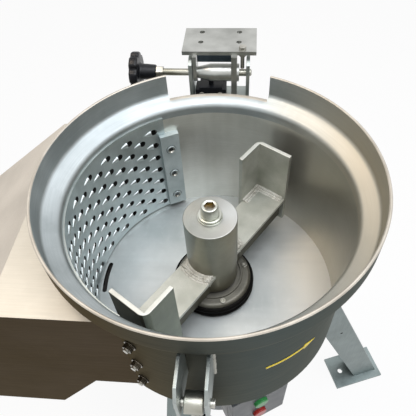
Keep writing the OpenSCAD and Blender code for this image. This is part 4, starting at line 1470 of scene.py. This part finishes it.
@dataclass
class HubScrew:
    """The screw that holds the hub, with a countersunk hexagon socket, and its spring washer.

    Attributes:
        bore: washer's bore radius.
        ring: washer's outer radius.
        ring_ease: rounding of the washer's edge.
        shank: shank radius.
        foot: head radius at its foot.
        brow: head radius at its top.
        mouth: radius of the countersink.
        key: corner radius of the socket.
        height: head height.
        floor: height of the socket's floor in the head.
        chamfer: width of the head's lower chamfer.
        edge: width of its upper chamfer.
        sink: depth of the countersink.
        ease: rounding of the head's edges.
        steps: points in a ring.
    """

    bore: float = 0.0064
    ring: float = 0.0133
    ring_ease: float = 0.001
    shank: float = 0.006
    foot: float = 0.0107
    brow: float = 0.0093
    mouth: float = 0.0075
    key: float = 0.0065
    height: float = 0.014
    floor: float = 0.007
    chamfer: float = 0.001
    edge: float = 0.0008
    sink: float = 0.0009
    ease: float = 0.0006
    steps: int = 96

    def build(self) -> None:
        """Turns and dresses the washer and the screw."""
        under, seat = (corner.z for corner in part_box("hub_spring_washer"))
        self.washer(under, seat)
        self.screw(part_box("hub_screw")[0].z, seat)

    def washer(self, under: float, seat: float) -> None:
        """Turns the spring washer.

        Args:
            under: height of its underside.
            seat: height of its top.
        """
        ring, cut = self.ring, self.ring_ease
        corners = [(self.bore, under), (ring - cut, under), (ring, under + cut)]
        profile = rounded([*corners, (ring, seat), (self.bore, seat)], cut)
        mesh = lathe("hub_spring_washer_mesh", profile + profile[:1], Matrix(), self.steps)
        coat(mesh, ZINC)
        stand_in(mesh, "hub_spring_washer")

    def screw(self, end: float, seat: float) -> None:
        """Turns the screw and gives its socket's walls copper grease and painted shade.

        Args:
            end: height of the shank's end.
            seat: height of the head's underside.
        """
        top, floor = seat + self.height, seat + self.floor
        head = [(self.foot - self.chamfer, seat), (self.foot, seat + self.chamfer)]
        head += [(self.brow, top - self.edge), (self.brow - self.edge, top), (self.mouth, top)]
        profile = [(POLE, end), (self.shank, end), (self.shank, seat), *rounded(head, self.ease)]
        profile += [(self.key, top - self.sink), (self.key, floor), (POLE, floor)]
        mesh = lathe("hub_screw_mesh", profile, Matrix(), self.steps, socket(self.key, floor))
        coat(mesh, ZINC, GREASED, FASTENER)
        for face in mesh.polygons:
            reach = math.hypot(face.center.x, face.center.y)
            # The socket's walls get copper grease and painted shade, its floor the fastener finish
            if reach < self.key and floor - 0.1 * MM < face.center.z < top - 1 * MM:
                face.material_index = 2 if face.normal.z > 0.5 else 1
        stand_in(mesh, "hub_screw")


@dataclass
class Rotor:
    """The rotor: hub, arms, paddles, their welds and the screw that holds the hub.

    Attributes:
        turn_deg: direction of the first arm.
        hub_r: hub radius.
        arm_z: height of the arms' top.
        arm_half: half of an arm's width.
        plate: plate thickness.
        reach: distance from the axis to a paddle's outer face.
        paddle_l: length of a paddle's leading flange.
        corner_runs: distance of each run from a paddle's corner, and how deep it is sunk.
        corner_bead: half of such a run's width.
        hub_runs: distance of each run from the hub.
        hub_sunk: how deep a run at the hub is sunk, for each metre from the hub.
        hub_share: share of an arm's width that these runs cover.
        hub_bead: half of such a run's width.
        lump: place of a weld lump, as shares of the hub's radius and the arm's half width.
        lump_l: length of a lump.
        lump_sunk: how deep a lump's middle lies under the arm's top.
        lump_bead: half of a lump's width.
    """

    turn_deg: float = 56.0
    hub_r: float = 0.0306
    arm_z: float = 0.613
    arm_half: float = 0.022
    plate: float = 0.005
    reach: float = 0.1340
    paddle_l: float = 0.042
    corner_runs: tuple[Ring, ...] = ((0.0, 0.0), (0.0034, 0.0016), (0.0066, 0.0022))
    corner_bead: float = 0.0029
    hub_runs: tuple[float, ...] = (0.0004, 0.0036, 0.0068, 0.0098)
    hub_sunk: float = 0.2
    hub_share: float = 0.88
    hub_bead: float = 0.0028
    lump: Ring = (0.9, 0.72)
    lump_l: float = 0.008
    lump_sunk: float = 0.0034
    lump_bead: float = 0.0066

    def at_arm(self, index: int, point: Point) -> Point:
        """Turns a point from an arm's space, with X along it, into the mill's.

        Args:
            index: 0 for the first arm, 1 for the second.
            point: point in the arm's space.

        Returns:
            The point in the mill's space.
        """
        angle = math.radians(self.turn_deg + 180 * index)
        x, y, z = point
        sine, cosine = math.sin(angle), math.cos(angle)
        return (x * cosine - y * sine, x * sine + y * cosine, z)

    def build(self) -> None:
        """Builds and dresses the rotor."""

        def hub(centre: Vector, normal: Vector) -> int:
            """Returns 1 for the hub's top."""
            return int(normal.z > 0.7)

        def arm(centre: Vector, normal: Vector) -> int:
            """Returns 2 for an arm's underside, in painted shade, and 1 for its cut edges, a
            painted highlight.
            """
            return 2 if centre.z < self.arm_z - self.plate else int(abs(normal.z) < 0.95)

        eased("rotor_hub", [HUB, HUB_TOP], 1.0, hub)
        for i in (0, 1):
            out = Vector(self.at_arm(i, (1, 0, 0)))
            lead = Vector(self.at_arm(i, (0, 1, 0)))

            def paddle(centre: Vector, normal: Vector) -> int:
                """Returns 1 for a paddle's top edge, 3 for its leading face, 2 for its outside, in
                painted light and shade.
                """
                side = 3 if normal.dot(lead) > 0.5 else 2 * int(normal.dot(out) > 0.5)
                return 1 if normal.z > 0.3 else side

            eased(f"rotor_arm_{i + 1}", [BLASTED, CUT, STAINED], 0.6, arm)
            eased(f"paddle_{i + 1}", [BLASTED, CUT, STAINED, RUBBED], 0.6, paddle)
        eased("hub_washer", [ZINC], 0.5)
        HubScrew().build()
        for node in ("motor_shaft", "motor_core", "shaft_key"):
            dressed(node, SHAFT)
        dressed("cooling_fan", BLACK)
        self.welds()

    def welds(self) -> None:
        """Lays wide runs in the paddles' corners and at the hub, with lumps where a run ends."""
        corners: list[list[Point]] = []
        roots: list[list[Point]] = []
        lumps: list[list[Point]] = []
        half = math.degrees(math.asin(self.arm_half / self.hub_r))
        x, edge, z = self.reach - self.plate, self.arm_half, self.arm_z
        start = self.reach - self.paddle_l + 2 * MM
        for i in (0, 1):
            angle = self.turn_deg + 180 * i
            for off, sunk in self.corner_runs:
                corner = (x - off, edge - off, z - sunk)
                ends = ((x - off, -edge + 3 * MM, z - sunk), (start, edge - off, z - sunk))
                corners.append([self.at_arm(i, p) for p in (ends[0], corner)])
                corners.append([self.at_arm(i, p) for p in (corner, ends[1])])
            for off in self.hub_runs:
                share = half * (self.hub_r / (self.hub_r + off)) * self.hub_share
                low = z - self.hub_sunk * off
                roots.append(circle_path(self.hub_r + off, low, angle - share, angle + share))
            for side in (-1, 1):
                near = self.hub_r * self.lump[0]
                rest = (side * edge * self.lump[1], z - self.lump_sunk)
                lumps.append([self.at_arm(i, (far, *rest)) for far in (near, near + self.lump_l)])
        for name, paths, bead in (
            ("rotor_corner_welds", corners, self.corner_bead),
            ("rotor_hub_welds", roots, self.hub_bead),
            ("rotor_weld_lumps", lumps, self.lump_bead),
        ):
            WeldBead.laid(name, paths, bead, "rotor", "blasted_stainless")


@dataclass
class Seal:
    """The shaft seal on the floor.

    Attributes:
        inner: radius of the ring's seat.
        outer: radius of the ring's ribs.
        low: height of its foot.
        high: height of its top.
        lip: height of the lip that it turns up round the cover.
        lip_in: radius of the lip's inside.
        ribs: number of ribs round it.
        hollow: depth between the ribs.
        full: power that makes the ribs fuller than half circles.
    """

    inner: float = 0.041
    outer: float = 0.052
    low: float = 0.550
    high: float = 0.563
    lip: float = 0.5665
    lip_in: float = 0.0482
    ribs: int = 2
    hollow: float = 0.0026
    full: float = 0.6

    def build(self) -> None:
        """Builds and dresses the seal."""
        rows = 9 * self.ribs
        profile: list[Ring] = [(self.inner, self.low)]
        for i in range(rows + 1):
            share = i / rows
            hollow = self.hollow * (1 - abs(math.sin(share * self.ribs * math.pi)) ** self.full)
            profile.append((self.outer - hollow, self.low + (self.lip - self.low) * share))
        profile += [(self.lip_in, self.lip), (self.lip_in, self.high), (self.inner, self.high)]
        ring = lathe("seal_ring_mesh", profile + profile[:1], Matrix(), steps=128)
        coat(ring, RUBBER)
        stand_in(ring, "seal_ring")
        eased("seal_cover", [COVER], 0.5)
        eased("seal_screws", [FASTENER], 0.4)
        dressed("shaft_seal", RUBBER)


@dataclass
class Body:
    """The chute, the legs and the welds on the drum's outside.

    Attributes:
        half: half of the chute's width.
        top: height of its flat top.
        fold: distance from the axis to the top's fold.
        reach: distance from the axis to its end.
        end: height of the sloping top at the end.
        base: height of the drum's underside.
        back: distance from the axis to the back plate's upper edge.
        lead: fall of the back plate outwards, for each metre down.
        drum: outside radius of the drum.
        leg_deg: direction of the right leg.
        leg_out: distance from the axis to a leg's outer face at its top.
        leg_half: half of a leg's width.
        hole: distance from the axis and height of the small hole in a leg's side.
        hole_r: radius of its broken edge.
        cheek_x: distance of the hinge cheeks' seams from the middle.
        ear_x: distance of the latch ears' seams from the middle.
        seam_z: lower and upper end of these seams.
        bead: half of a bead's width.
    """

    half: float = 0.137
    top: float = 0.7015
    fold: float = 0.200
    reach: float = 0.380
    end: float = 0.5594
    base: float = 0.544
    back: float = 0.133
    lead: float = 62 / 84
    drum: float = 0.157
    leg_deg: float = 20.0
    leg_out: float = 0.145
    leg_half: float = 0.020
    hole: Ring = (0.2273, 0.289)
    hole_r: float = 0.0033
    cheek_x: float = 0.0390
    ear_x: float = 0.0145
    seam_z: Ring = (0.648, 0.706)
    bead: float = 0.0019

    def within(self, point: Vector) -> bool:
        """Tells whether a point lies in the chute's hollow.

        Args:
            point: point in the mill's space.

        Returns:
            True inside the chute and outside the drum.
        """
        slope = (self.top - self.end) / (self.reach - self.fold)
        roof = self.top - max(0.0, -point.x - self.fold) * slope
        if abs(point.y) > self.half or point.z > roof or -point.x > self.reach:
            return False
        if point.z > self.base:
            return math.hypot(point.x, point.y) > self.drum
        return -point.x > self.back + (self.base - point.z) * self.lead

    def side(self, centre: Vector, normal: Vector) -> int:
        """Picks the chute's finish for a face.

        Args:
            centre: middle of the face.
            normal: its direction.

        Returns:
            0 for the top, 1 for the sides, 2 inside, 3 for the slope and 4 for the side folds: lit
            and shaded copies of one sheet, painted shade inside and a painted highlight on the
            folds.
        """
        if self.within(centre + normal * 1.5 * MM):
            return 2
        if abs(normal.y) > 0.25 and normal.z > 0.2:
            return 4
        return 1 if normal.z < 0.4 else 3 * int(normal.x < -0.3)

    def build(self) -> None:
        """Builds and dresses the chute and the legs."""
        sheet = [HOOD_TOP, HOOD_SIDE, HOOD_INSIDE, HOOD_SLOPE, EDGE]
        eased("chute_hood", sheet, 0.9, self.side)
        for i, node in enumerate(("right_leg", "rear_leg", "front_leg")):
            back = Matrix.Rotation(-math.radians(self.leg_deg + 120 * i), 3, "Z")

            def hole(centre: Vector, normal: Vector) -> int:
                """Returns 1 for the wall of the small hole, which gets painted shade."""
                off = math.dist((back @ centre).xz, self.hole)
                return int(abs((back @ normal).y) < 0.8 and off < self.hole_r)

            eased(node, [LEG, HOOD_INSIDE], 0.8, hole)
        eased("foot_plates", [LEG], 0.8)
        self.welds()

    def welds(self) -> None:
        """Lays the beads at the legs' tops, the hinge cheeks and the latch ears."""
        paths: list[list[Point]] = []
        for i in range(3):
            turn = Matrix.Rotation(math.radians(self.leg_deg + 120 * i), 3, "Z")
            line = [(self.leg_out, side * self.leg_half, self.base - 1 * MM) for side in (-1, 1)]
            paths.append([tuple(turn @ Vector(p)) for p in line])
        for x, end in ((self.cheek_x, 1), (self.ear_x, -1)):
            y = end * math.sqrt(self.drum**2 - x**2)
            paths += [[(side * x, y, z) for z in self.seam_z] for side in (-1, 1)]
        WeldBead.laid("frame_welds", paths, self.bead, "frame", "stainless_plate")


@dataclass
class Motor:
    """The motor under the floor, with its switch box.

    Attributes:
        edges: each solid with its finish and the width of its broken edges in millimetres.
    """

    edges: tuple[Edge, ...] = (
        ("motor_flange", PAINT, 0.7),
        ("motor_end_shield", PAINT, 0.7),
        ("fan_cowl", PAINT, 0.7),
        ("motor_frame", PAINT, 0.6),
        ("motor_studs", FASTENER, 0.4),
        ("motor_washers", FASTENER, 0.4),
        ("motor_nuts", FASTENER, 0.4),
        ("terminal_box", BLACK, 3.0),
        ("switch_cover", GREY, 2.0),
        ("cable_gland", BLACK, 0.6),
        ("start_button", GREEN, 1.6),
        ("stop_button", RED, 1.6),
    )

    def build(self) -> None:
        """Builds and dresses the motor."""
        for node, finish, width in self.edges:
            eased(node, [finish], width)
        dressed("motor_stator", WINDING)
        for node in ("upper_bearing", "lower_bearing"):
            dressed(node, SHAFT)


@dataclass
class Knob:
    """A lobed hand knob on a short hub.

    Attributes:
        node: solid that it stands for.
        place: where its axis stands, hub first.
        hub_l: length of the hub.
        length: length of the whole knob.
        bore: bore radius.
        through: True if the bore is open at both ends.
        hub: hub radius at its foot.
        draft: how much wider the hub is under the lobes.
        wide: radius of the lobes.
        lobes: number of lobes.
        hollow: depth between them.
        ease: rounding of the edges.
    """

    node: str
    place: Matrix
    hub_l: float
    length: float
    bore: float
    through: bool
    hub: float = 0.009
    draft: float = 0.0015
    wide: float = 0.025
    lobes: int = 7
    hollow: float = 0.003
    ease: float = 0.0032

    def build(self) -> None:
        """Turns the knob and presses hollows into its edge."""
        start = self.hub * 1.3

        def lobed(radius: float, height: float, angle: float) -> float:
            """Returns a radius that dips between the lobes, the more the further out it is."""
            share = min(1.0, max(0.0, (radius - start) / (self.wide - start)))
            return radius - self.hollow * share * max(0.0, math.cos(self.lobes * angle)) ** 1.3

        neck = [(self.bore, 0.0), (self.hub, 0.0), (self.hub + self.draft, self.hub_l)]
        end = (self.bore if self.through else POLE, self.length)
        grip = [(self.wide, self.hub_l), (self.wide, self.length), end]
        profile = rounded(neck + grip, self.ease, steps=6)
        if self.through:
            profile.append(profile[0])
        mesh = lathe(self.node + "_mesh", profile, self.place, steps=112, shape=lobed)
        coat(mesh, BLACK)
        stand_in(mesh, self.node)


@dataclass
class RearHinge:
    """The hinge that carries the hopper, with its switch and pull-out pin.

    Attributes:
        axis_y: place of the hinge axis behind the rotor axis.
        axis_z: its height.
        knob_x: place where the pin's knob starts.
        plate_rise: height of the swing plate's underside over the axis.
        plate_in: distance that the plate reaches forward of the axis.
        lip: ends of the plate's lip between the lugs.
        lip_h: depth of the lip.
        lip_t: its thickness.
        lip_in: how far it is set into the plate.
        lip_ease: rounding of its edges.
        edges: each solid with its finish and the width of its broken edges in millimetres.
    """

    axis_y: float = 0.196
    axis_z: float = 0.7416
    knob_x: float = -0.082
    plate_rise: float = 0.028
    plate_in: float = 0.006
    lip: Ring = (-0.0275, 0.0150)
    lip_h: float = 0.0105
    lip_t: float = 0.003
    lip_in: float = 0.0005
    lip_ease: float = 0.0012
    edges: tuple[Edge, ...] = (
        ("hinge_bracket", PLATE, 0.6),
        ("swing_bracket", SLEEVE, 0.6),
        ("safety_switch", BLACK, 1.6),
        ("switch_screws", FASTENER, 0.3),
        ("switch_plunger", BLACK, 0.4),
        ("stop_screw", FASTENER, 0.4),
        ("stop_nut", FASTENER, 0.4),
        ("hinge_pin", SHAFT, 0.4),
        ("pin_nut", FASTENER, 0.5),
    )

    def build(self) -> None:
        """Builds and dresses the hinge."""
        for node, finish, width in self.edges:
            eased(node, [finish], width)
        place = Matrix.Translation((self.knob_x, self.axis_y, self.axis_z))
        place = place @ Matrix.Rotation(-math.pi / 2, 4, "Y")
        Knob("pin_knob", place, hub_l=0.021, length=0.032, bore=0.0046, through=False).build()
        self.folded_lip()

    def folded_lip(self) -> None:
        """Folds the swing plate's front edge down between the lugs, with a round fold."""
        top = self.axis_z + self.plate_rise + self.lip_in
        front = self.axis_y - self.plate_in + self.lip_in
        low, back = top - self.lip_h, front + self.lip_t
        corners = [(back, top), (front, top), (front, low), (back, low), (back, top)]
        outline = rounded(corners, self.lip_ease)[:-1]
        points = [(x, y, z) for x in self.lip for y, z in outline]
        count = len(outline)
        ends = [tuple(range(count)), tuple(range(count, 2 * count))]
        mesh = mesh_of("plate_lip_mesh", points, grid_faces(2, count) + ends)
        coat(mesh, LIP)
        piece(mesh, "plate_lip", "hopper_bracket")


@dataclass
class FrontLatch:
    """The swing latch between the ears at the front.

    Attributes:
        axis_y: place of the pivot in front of the rotor axis.
        axis_z: its height.
        eye: radius of the bolt's eye.
        eye_half: half of the eye's width.
        eye_ease: rounding of its edges.
        pin: radius of the eye's bore.
        shank: radius of the bolt.
        length: length of the bolt from the pivot.
        thread: length of its thread.
        pitch: thread pitch, drawn coarser than real so that it shows.
        groove: depth of the thread.
        knob_up: height of the knob's hub over the bolt's end.
    """

    axis_y: float = -0.193
    axis_z: float = 0.675
    eye: float = 0.010
    eye_half: float = 0.0085
    eye_ease: float = 0.0012
    pin: float = 0.0042
    shank: float = 0.005
    length: float = 0.135
    thread: float = 0.070
    pitch: float = 0.002
    groove: float = 0.0011
    knob_up: float = 0.034

    def build(self) -> None:
        """Builds and dresses the latch."""
        eased("latch_ears", [PLATE], 0.5)
        eased("latch_pivot", [FASTENER], 0.4)
        self.bolt()
        knob_z = self.axis_z - self.length + self.knob_up
        place = Matrix.Translation((0, self.axis_y, knob_z)) @ Matrix.Rotation(math.pi, 4, "X")
        Knob("latch_knob", place, hub_l=0.019, length=0.030, bore=0.0052, through=True).build()

    def bolt(self) -> None:
        """Turns the eye and the threaded shank."""
        at = Matrix.Translation((0, self.axis_y, self.axis_z))
        half = self.eye_half
        corners = [(self.pin, -half), (self.eye, -half), (self.eye, half), (self.pin, half)]
        ring = rounded(corners, self.eye_ease)
        eye = lathe("eye", ring + ring[:1], at @ Matrix.Rotation(math.pi / 2, 4, "Y"))
        start = self.thread - self.length

        def cut(radius: float, height: float, angle: float) -> float:
            """Returns a radius with the thread's groove cut into it."""
            deep = self.groove * abs(2 * ((height / self.pitch - angle / TURN) % 1.0) - 1)
            return radius if height > start or radius < self.shank else radius - deep

        rows = int(self.thread / self.pitch * 6)
        profile = [(self.shank, -self.eye * 0.8), (self.shank, start + 0.01 * MM)]
        fall = self.thread - 1 * MM
        profile += [(self.shank, start - fall * i / rows) for i in range(rows + 1)]
        profile.append((self.shank - 1.2 * MM, -self.length))
        shank = lathe("shank", profile, at, steps=32, shape=cut)
        mesh = joined("swing_bolt_mesh", [eye, shank])
        coat(mesh, SHAFT)
        stand_in(mesh, "swing_bolt")


@dataclass(frozen=True)
class Lamp:
    """A square area lamp.

    Attributes:
        name: lamp name.
        at: lamp's place.
        aim: point that it faces.
        size: side length.
        watts: power.
        colour: light colour.
    """

    name: str
    at: Point
    aim: Point
    size: float
    watts: float
    colour: str

    def hang(self) -> None:
        """Hangs the lamp."""
        data = bpy.data.lights.new(self.name, "AREA")
        data.size, data.energy, data.color = self.size, self.watts, linear(self.colour)[:3]
        lamp = linked(data, self.name)
        lamp.location = self.at
        lamp.rotation_mode = "QUATERNION"
        way = Vector(self.aim) - Vector(self.at)
        lamp.rotation_quaternion = way.to_track_quat("-Z", "Y")


@dataclass
class Studio:
    """Floor, light and camera.

    Attributes:
        eye: camera place.
        pitch_deg: angle that it looks down.
        yaw_deg: turn to the left.
        roll_deg: tilt of the picture.
        lens_mm: focal length.
        sensor_mm: width of the sensor.
        floor_half: half of the floor's width.
        floor_glow: share of plain white in the floor, as the camera and mirrors see it.
        sky: strength of the white world on surfaces, and as the camera and mirrors see it.
        lamps: a large cool softbox at the right and a weak warm fill at the left.
    """

    eye: Point = (0.0377, -0.3141, 1.0815)
    pitch_deg: float = 50.05
    yaw_deg: float = 7.15
    roll_deg: float = -3.65
    lens_mm: float = 39.58
    sensor_mm: float = 36.0
    floor_half: float = 12.0
    floor_glow: float = 0.9
    sky: Ring = (0.5, 1.0)
    lamps: tuple[Lamp, ...] = (
        Lamp("softbox", (0.6, -0.35, 2.35), (-0.05, 0.05, 0.65), 1.8, 35.0, "#f4f8ff"),
        Lamp("warm_fill", (-0.8, 0.1, 2.2), (0.1, 0, 0.6), 0.7, 9.0, "#ffecd8"),
    )

    def build(self) -> None:
        """Sets up the studio."""
        bpy.context.scene.view_settings.view_transform = "Standard"
        self.camera()
        self.floor()
        self.world()
        for lamp in self.lamps:
            lamp.hang()

    def camera(self) -> None:
        """Stands the camera where the photograph was taken."""
        pitch, roll = math.radians(self.pitch_deg), math.radians(self.roll_deg)
        turn = Matrix.Rotation(math.radians(self.yaw_deg), 3, "Z")
        ahead = turn @ Vector((0, math.cos(pitch), -math.sin(pitch)))
        right = turn @ Vector((1, 0, 0))
        up = turn @ Vector((0, math.sin(pitch), math.cos(pitch)))
        tilted = right * math.cos(roll) + up * math.sin(roll)
        raised = up * math.cos(roll) - right * math.sin(roll)
        camera = linked(bpy.data.cameras.new("camera"), "camera")
        camera.data.lens = self.lens_mm
        camera.data.sensor_width = self.sensor_mm
        camera.data.clip_start = 0.01
        place = Matrix((tilted, raised, -ahead)).transposed().to_4x4()
        place.translation = Vector(self.eye)
        camera.matrix_world = place
        bpy.context.scene.camera = camera

    def seen(self, tree: Tree) -> Node:
        """Tells the rays that see the background straight, in a mirror or through glass.

        Args:
            tree: node tree.

        Returns:
            A node that gives 1 for such rays and 0 for others.
        """
        ray = add(tree, "ShaderNodeLightPath").outputs
        pair = {0: ray["Is Camera Ray"], 1: ray["Is Glossy Ray"]}
        either = add(tree, "ShaderNodeMath", pair, operation="MAXIMUM")
        clear = {0: either, 1: ray["Is Transmission Ray"]}
        return add(tree, "ShaderNodeMath", clear, operation="MAXIMUM")

    def floor(self) -> None:
        """Lays a white floor that keeps the mill's shadow."""
        half = self.floor_half
        corners = [(-half, -half, 0), (half, -half, 0), (half, half, 0), (-half, half, 0)]
        mesh = bpy.data.meshes.new("studio_floor_mesh")
        mesh.from_pydata(corners, [], [(0, 1, 2, 3)])
        material = bpy.data.materials.new("white_studio_floor")
        material.use_nodes = True
        tree = material.node_tree
        tree.nodes.clear()
        matt = add(tree, "ShaderNodeBsdfDiffuse", {"Color": linear("#f4f4f4")})
        glow = add(tree, "ShaderNodeEmission", {"Color": (1, 1, 1, 1), "Strength": 1.0})
        part = {0: self.seen(tree), 1: self.floor_glow}
        share = add(tree, "ShaderNodeMath", part, operation="MULTIPLY")
        both = add(tree, "ShaderNodeMixShader", {0: share, 1: matt, 2: glow})
        add(tree, "ShaderNodeOutputMaterial", {"Surface": both})
        mesh.materials.append(material)
        linked(mesh, "studio_floor")

    def world(self) -> None:
        """Lights everything evenly from a white world."""
        world = bpy.data.worlds.new("studio_world")
        bpy.context.scene.world = world
        world.use_nodes = True
        tree = world.node_tree
        tree.nodes.clear()
        levels = {"Value": self.seen(tree), "To Min": self.sky[0], "To Max": self.sky[1]}
        level = add(tree, "ShaderNodeMapRange", levels)
        sky = add(tree, "ShaderNodeBackground", {"Color": (1, 1, 1, 1), "Strength": level})
        add(tree, "ShaderNodeOutputWorld", {"Surface": sky})


def main() -> None:
    """Builds every sub-assembly."""
    logging.basicConfig(level=logging.INFO, format="%(name)s: %(message)s")
    mill = (Drum(), Grater(), Seal(), Rotor(), Body(), Motor(), RearHinge(), FrontLatch())
    for part in (Studio(), *mill):
        LOG.info("building %s", type(part).__name__)
        part.build()


if __name__ == "__main__":
    main()
